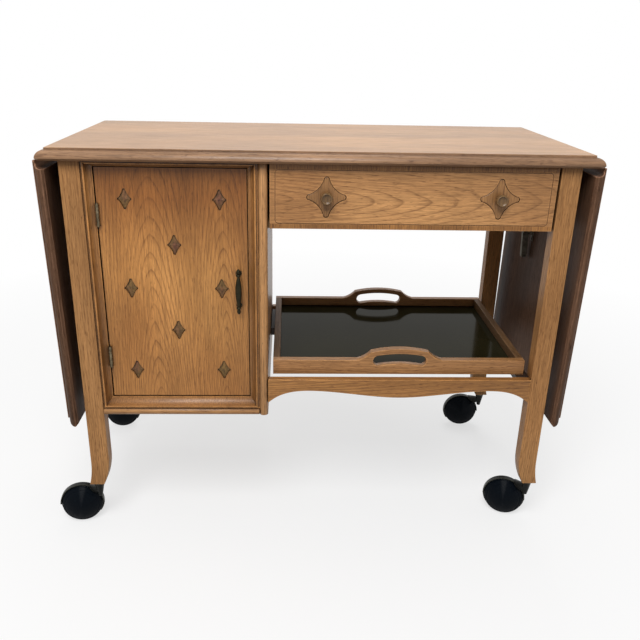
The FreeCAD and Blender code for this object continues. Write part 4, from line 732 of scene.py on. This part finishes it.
# The door's wide reach and its first patch are painted shade: its upper part darkened as under the top's
# overhang
door_wood = wood("door_oak", "zxy", "door_panel", DOOR_OAK, hearts=DOOR_HEARTS, figure=0.66, pores=0.75,
                 spacing=6.5 * MM, wander=0.03, reach=45 * MM, wear=0.9, pale=0.2,
                 patches=DOOR_PATCHES)
drawer_wood = banded_wood("drawer_oak", "drawer_front", DRAWER_OAK, MOULD_OAK, hearts=DRAWER_HEARTS,
                          figure=0.62, spacing=7 * MM, wander=0.025, reach=16 * MM,
                          patches=DRAWER_PATCHES)
rosette_wood = wood("rosette_oak", "zxy", "drawer_rosettes", ROSETTE_OAK, figure=0.5, glaze=0.95,
                    wear=0.9, pale=0.2)
knob_wood = wood("knob_oak", "zxy", "drawer_knobs", KNOB_OAK, figure=0.3, glaze=0.95, gloss=0.24,
                 reach=10 * MM, sheen=0.3)
side_wood = wood("side_oak", "zyx", "cabinet_right_side", OAK, figure=0.35, gloss=0.34, sheen=0.3)
stile_wood = wood("stile_oak", "zxy", "cabinet_stile", DRAWER_OAK, figure=0.30, wear=0.8, pale=0.35,
                  glaze=0.95)
# The leaf's dark tones are its stain darkened further as painted shade; its pale edges paint a highlight
# along the arrises
leaf_edge = wood("leaf_edge_oak", "zyx", "right_leaf", LEAF_OAK, figure=0.35, wear=1.0, pale=3.8, flecks=0.3,
                 gloss=0.48, sheen=0.06)
leaf_face = wood("leaf_face_oak", "zyx", "right_leaf", TOP_OAK, hearts=TOP_HEARTS, figure=0.35, pores=0.55,
                 gloss=0.32)
tray_wood = wood("tray_oak", "xzy", "tray_front_board", MUTED_OAK, figure=0.40, wear=0.9, pale=1.7)
tray_side_wood = wood("tray_side_oak", "yzx", "tray_side_boards", SHADED_OAK, figure=0.40, wear=0.6,
                      gloss=0.46, sheen=0.15)
inner_wood = wood("inner_timber", "xyz", "drawer_bottom", INNER_OAK, gloss=0.55, glaze=0.5, flecks=0.2)
back_wood = wood("back_timber", "zxy", "cabinet_back", INNER_OAK, gloss=0.55, glaze=0.5, flecks=0.2)
inlay_wood = inlay("inlay_timber", "door_lozenges")
dark_wood = wood("stained_timber", "yxz", "tray_bearers", STAIN_AND_SHADE, gloss=0.5, wear=0.2)
steel = metal("plated_steel", STEEL, 0.42)
brass = metal("aged_brass", BRASS, 0.42)
iron = metal("dark_iron", IRON, 0.42, metallic=0.8)
bronze = metal("dark_bronze", BRONZE, 0.36, metallic=0.8, wear=1.0, pale=12.0)
plastic = metal("brown_plastic", PLASTIC, 0.5, metallic=0.0)
black_laminate = laminate("black_laminate")
black_ball = ball("black_ball")

WOODS = {
    "right_apron": side_wood, "rear_apron": rail_wood, "front_rail": rail_wood,
    "rear_rail": rail_wood, "cabinet_left_side": side_wood, "cabinet_right_side": side_wood,
    "cabinet_bottom": inner_wood, "cabinet_back": back_wood, "cabinet_shelf": inner_wood,
    "cabinet_stile": stile_wood, "cabinet_base_bead": bead_wood, "door_mouldings": mould_wood,
    "door_panel": door_wood, "drawer_front": drawer_wood, "drawer_sides": inner_wood,
    "drawer_back": inner_wood, "drawer_bottom": inner_wood, "drawer_runners": inner_wood,
    "tray_front_board": tray_wood, "tray_rear_board": tray_wood, "tray_side_boards": tray_side_wood,
    "tray_bearers": dark_wood,
}
SLOT_FINISHES = {"plated_steel": steel, "brass": brass, "dark_iron": iron, "bronze_metal": bronze,
                 "brown_plastic": plastic, "black_laminate": black_laminate}

# Pieces
for node, material in WOODS.items():
    eased(node, TIMBER_EASE, material)
for corner in ("front_left", "front_right", "rear_left", "rear_right"):
    eased(corner + "_leg", TIMBER_EASE, leg_wood)
    wheel(corner + "_caster_wheel", joint_named[corner + "_caster_roll"], black_ball)
eased("top_panel", TIMBER_EASE, edge_wood, top_wood, show=UP)
for side, outer in (("left", LEFT), ("right", RIGHT)):
    eased(side + "_leaf", TIMBER_EASE, leaf_edge, leaf_face, show=outer)
    screws(side + "_leaf_hinge_plates", -outer, steel)
eased("drawer_rosettes", CARVED_EASE, rosette_wood)
eased("drawer_knobs", TIMBER_EASE, knob_wood)
faceted("door_lozenges", inlay_wood)
screws("leaf_hinge_top_plates", DOWN, steel)
for node, slot in slot_of_node.items():
    if slot in ("plated_steel", "brass"):
        eased(node, METAL_EASE, SLOT_FINISHES[slot])
for node, shown in nodes.items():
    if shown.hide_render:
        continue
    shown.data.materials.clear()
    shown.data.materials.append(SLOT_FINISHES[slot_of_node[node]])


# Camera, fitted to the photograph
FOCAL_PIXELS = 691.07
IMAGE_PIXELS = 640.0
SENSOR_WIDTH = 36.0
CLIP_START = 0.01
YAW, PITCH, ROLL = math.radians(2.26), math.radians(21.16), math.radians(-1.19)
CENTRE_SHIFT = (8.1 / IMAGE_PIXELS, -11.5 / IMAGE_PIXELS)
CAMERA_FROM_TOP = Vector((-0.0596, -1.3341, 0.1666))


def set_camera():
    """Camera at the photo's place, turned by its yaw, pitch and roll."""
    lens = bpy.data.cameras.new("camera")
    lens.sensor_width = SENSOR_WIDTH
    lens.lens = FOCAL_PIXELS / IMAGE_PIXELS * SENSOR_WIDTH
    lens.shift_x, lens.shift_y = CENTRE_SHIFT
    lens.clip_start = CLIP_START
    camera = bpy.data.objects.new("camera", lens)
    bpy.context.scene.collection.objects.link(camera)
    forward = Vector((math.sin(YAW) * math.cos(PITCH), math.cos(YAW) * math.cos(PITCH), -math.sin(PITCH)))
    level = Vector((math.cos(YAW), -math.sin(YAW), 0.0))
    down = forward.cross(level)
    right = level * math.cos(ROLL) + down * math.sin(ROLL)
    under = down * math.cos(ROLL) - level * math.sin(ROLL)
    turn = Matrix((right, -under, -forward)).transposed().to_4x4()
    place = Vector((TOP_MIDDLE.x, TOP_MIDDLE.y, TOP_HIGH.z)) + CAMERA_FROM_TOP
    camera.matrix_world = Matrix.Translation(place) @ turn
    bpy.context.scene.camera = camera


# Floor, world and lamps
FLOOR_SIZE = 6.0
FLOOR_FADE = (0.3, 1.8)     # from here to there the floor turns to the white of the background
FLOOR_GLOW = 0.60           # share of that white on the nearest floor
FLOOR_SEEN = (0.97, 0.97, 0.97)
FLOOR_BOUNCE = (0.34, 0.33, 0.32)
AMBIENT = 0.34


def seen_plainly(tree):
    """1 for rays from the camera, or by way of glossy or clear surfaces."""
    path = tree.nodes.new("ShaderNodeLightPath")
    mirrored = math_node(tree, "MAXIMUM", path.outputs["Is Glossy Ray"], path.outputs["Is Transmission Ray"])
    return math_node(tree, "MAXIMUM", path.outputs["Is Camera Ray"], mirrored)


def set_floor():
    """Pale floor that keeps the shadow and fades to white far off."""
    mesh = bpy.data.meshes.new("floor")
    corners = [(-FLOOR_SIZE, -FLOOR_SIZE, 0), (FLOOR_SIZE, -FLOOR_SIZE, 0), (FLOOR_SIZE, FLOOR_SIZE, 0),
               (-FLOOR_SIZE, FLOOR_SIZE, 0)]
    mesh.from_pydata(corners, [], [(0, 1, 2, 3)])
    floor = bpy.data.objects.new("floor", mesh)
    bpy.context.scene.collection.objects.link(floor)
    material, tree, shader = blank("floor")
    seen = seen_plainly(tree)
    linked(tree, mixed(tree, seen, FLOOR_BOUNCE, FLOOR_SEEN), shader.inputs["Base Color"])
    shader.inputs["Roughness"].default_value = 0.9
    shader.inputs["Specular IOR Level"].default_value = 0.0
    far = tree.nodes.new("ShaderNodeVectorMath")
    far.operation = "LENGTH"
    linked(tree, object_place(tree), far.inputs[0])
    fade = tree.nodes.new("ShaderNodeMapRange")
    linked(tree, far.outputs["Value"], fade.inputs["Value"])
    fade.inputs["From Min"].default_value, fade.inputs["From Max"].default_value = FLOOR_FADE
    fade.inputs["To Min"].default_value = FLOOR_GLOW
    glow = tree.nodes.new("ShaderNodeEmission")
    blend = tree.nodes.new("ShaderNodeMixShader")
    linked(tree, product(tree, fade.outputs["Result"], seen), blend.inputs[0])
    linked(tree, shader.outputs[0], blend.inputs[1])
    linked(tree, glow.outputs[0], blend.inputs[2])
    linked(tree, blend.outputs[0], tree.nodes["Material Output"].inputs["Surface"])
    mesh.materials.append(material)


def set_world():
    """White surroundings as seen, and a lower even light from them."""
    world = bpy.data.worlds.new("studio")
    bpy.context.scene.world = world
    world.use_nodes = True
    tree = world.node_tree
    sky = tree.nodes["Background"]
    sky.inputs["Color"].default_value = (1, 1, 1, 1)
    strength = math_node(tree, "MULTIPLY_ADD", seen_plainly(tree), 1 - AMBIENT, AMBIENT)
    linked(tree, strength, sky.inputs["Strength"])


def lamp(name, place, aim, size, power):
    """Soft square lamp aimed at a point."""
    data = bpy.data.lights.new(name, "AREA")
    data.size = size
    data.energy = power
    lamp_object = bpy.data.objects.new(name, data)
    bpy.context.scene.collection.objects.link(lamp_object)
    lamp_object.location = place
    lamp_object.rotation_euler = (Vector(aim) - Vector(place)).to_track_quat("-Z", "Y").to_euler()


set_camera()
set_floor()
set_world()
lamp("key", place=(-0.35, -1.70, 2.50), aim=(0, -0.1, 0.45), size=1.2, power=56)
lamp("back", place=(0.2, 1.9, 2.9), aim=(0, 0, 0.45), size=1.6, power=20)
bpy.context.scene.view_settings.view_transform = "Standard"
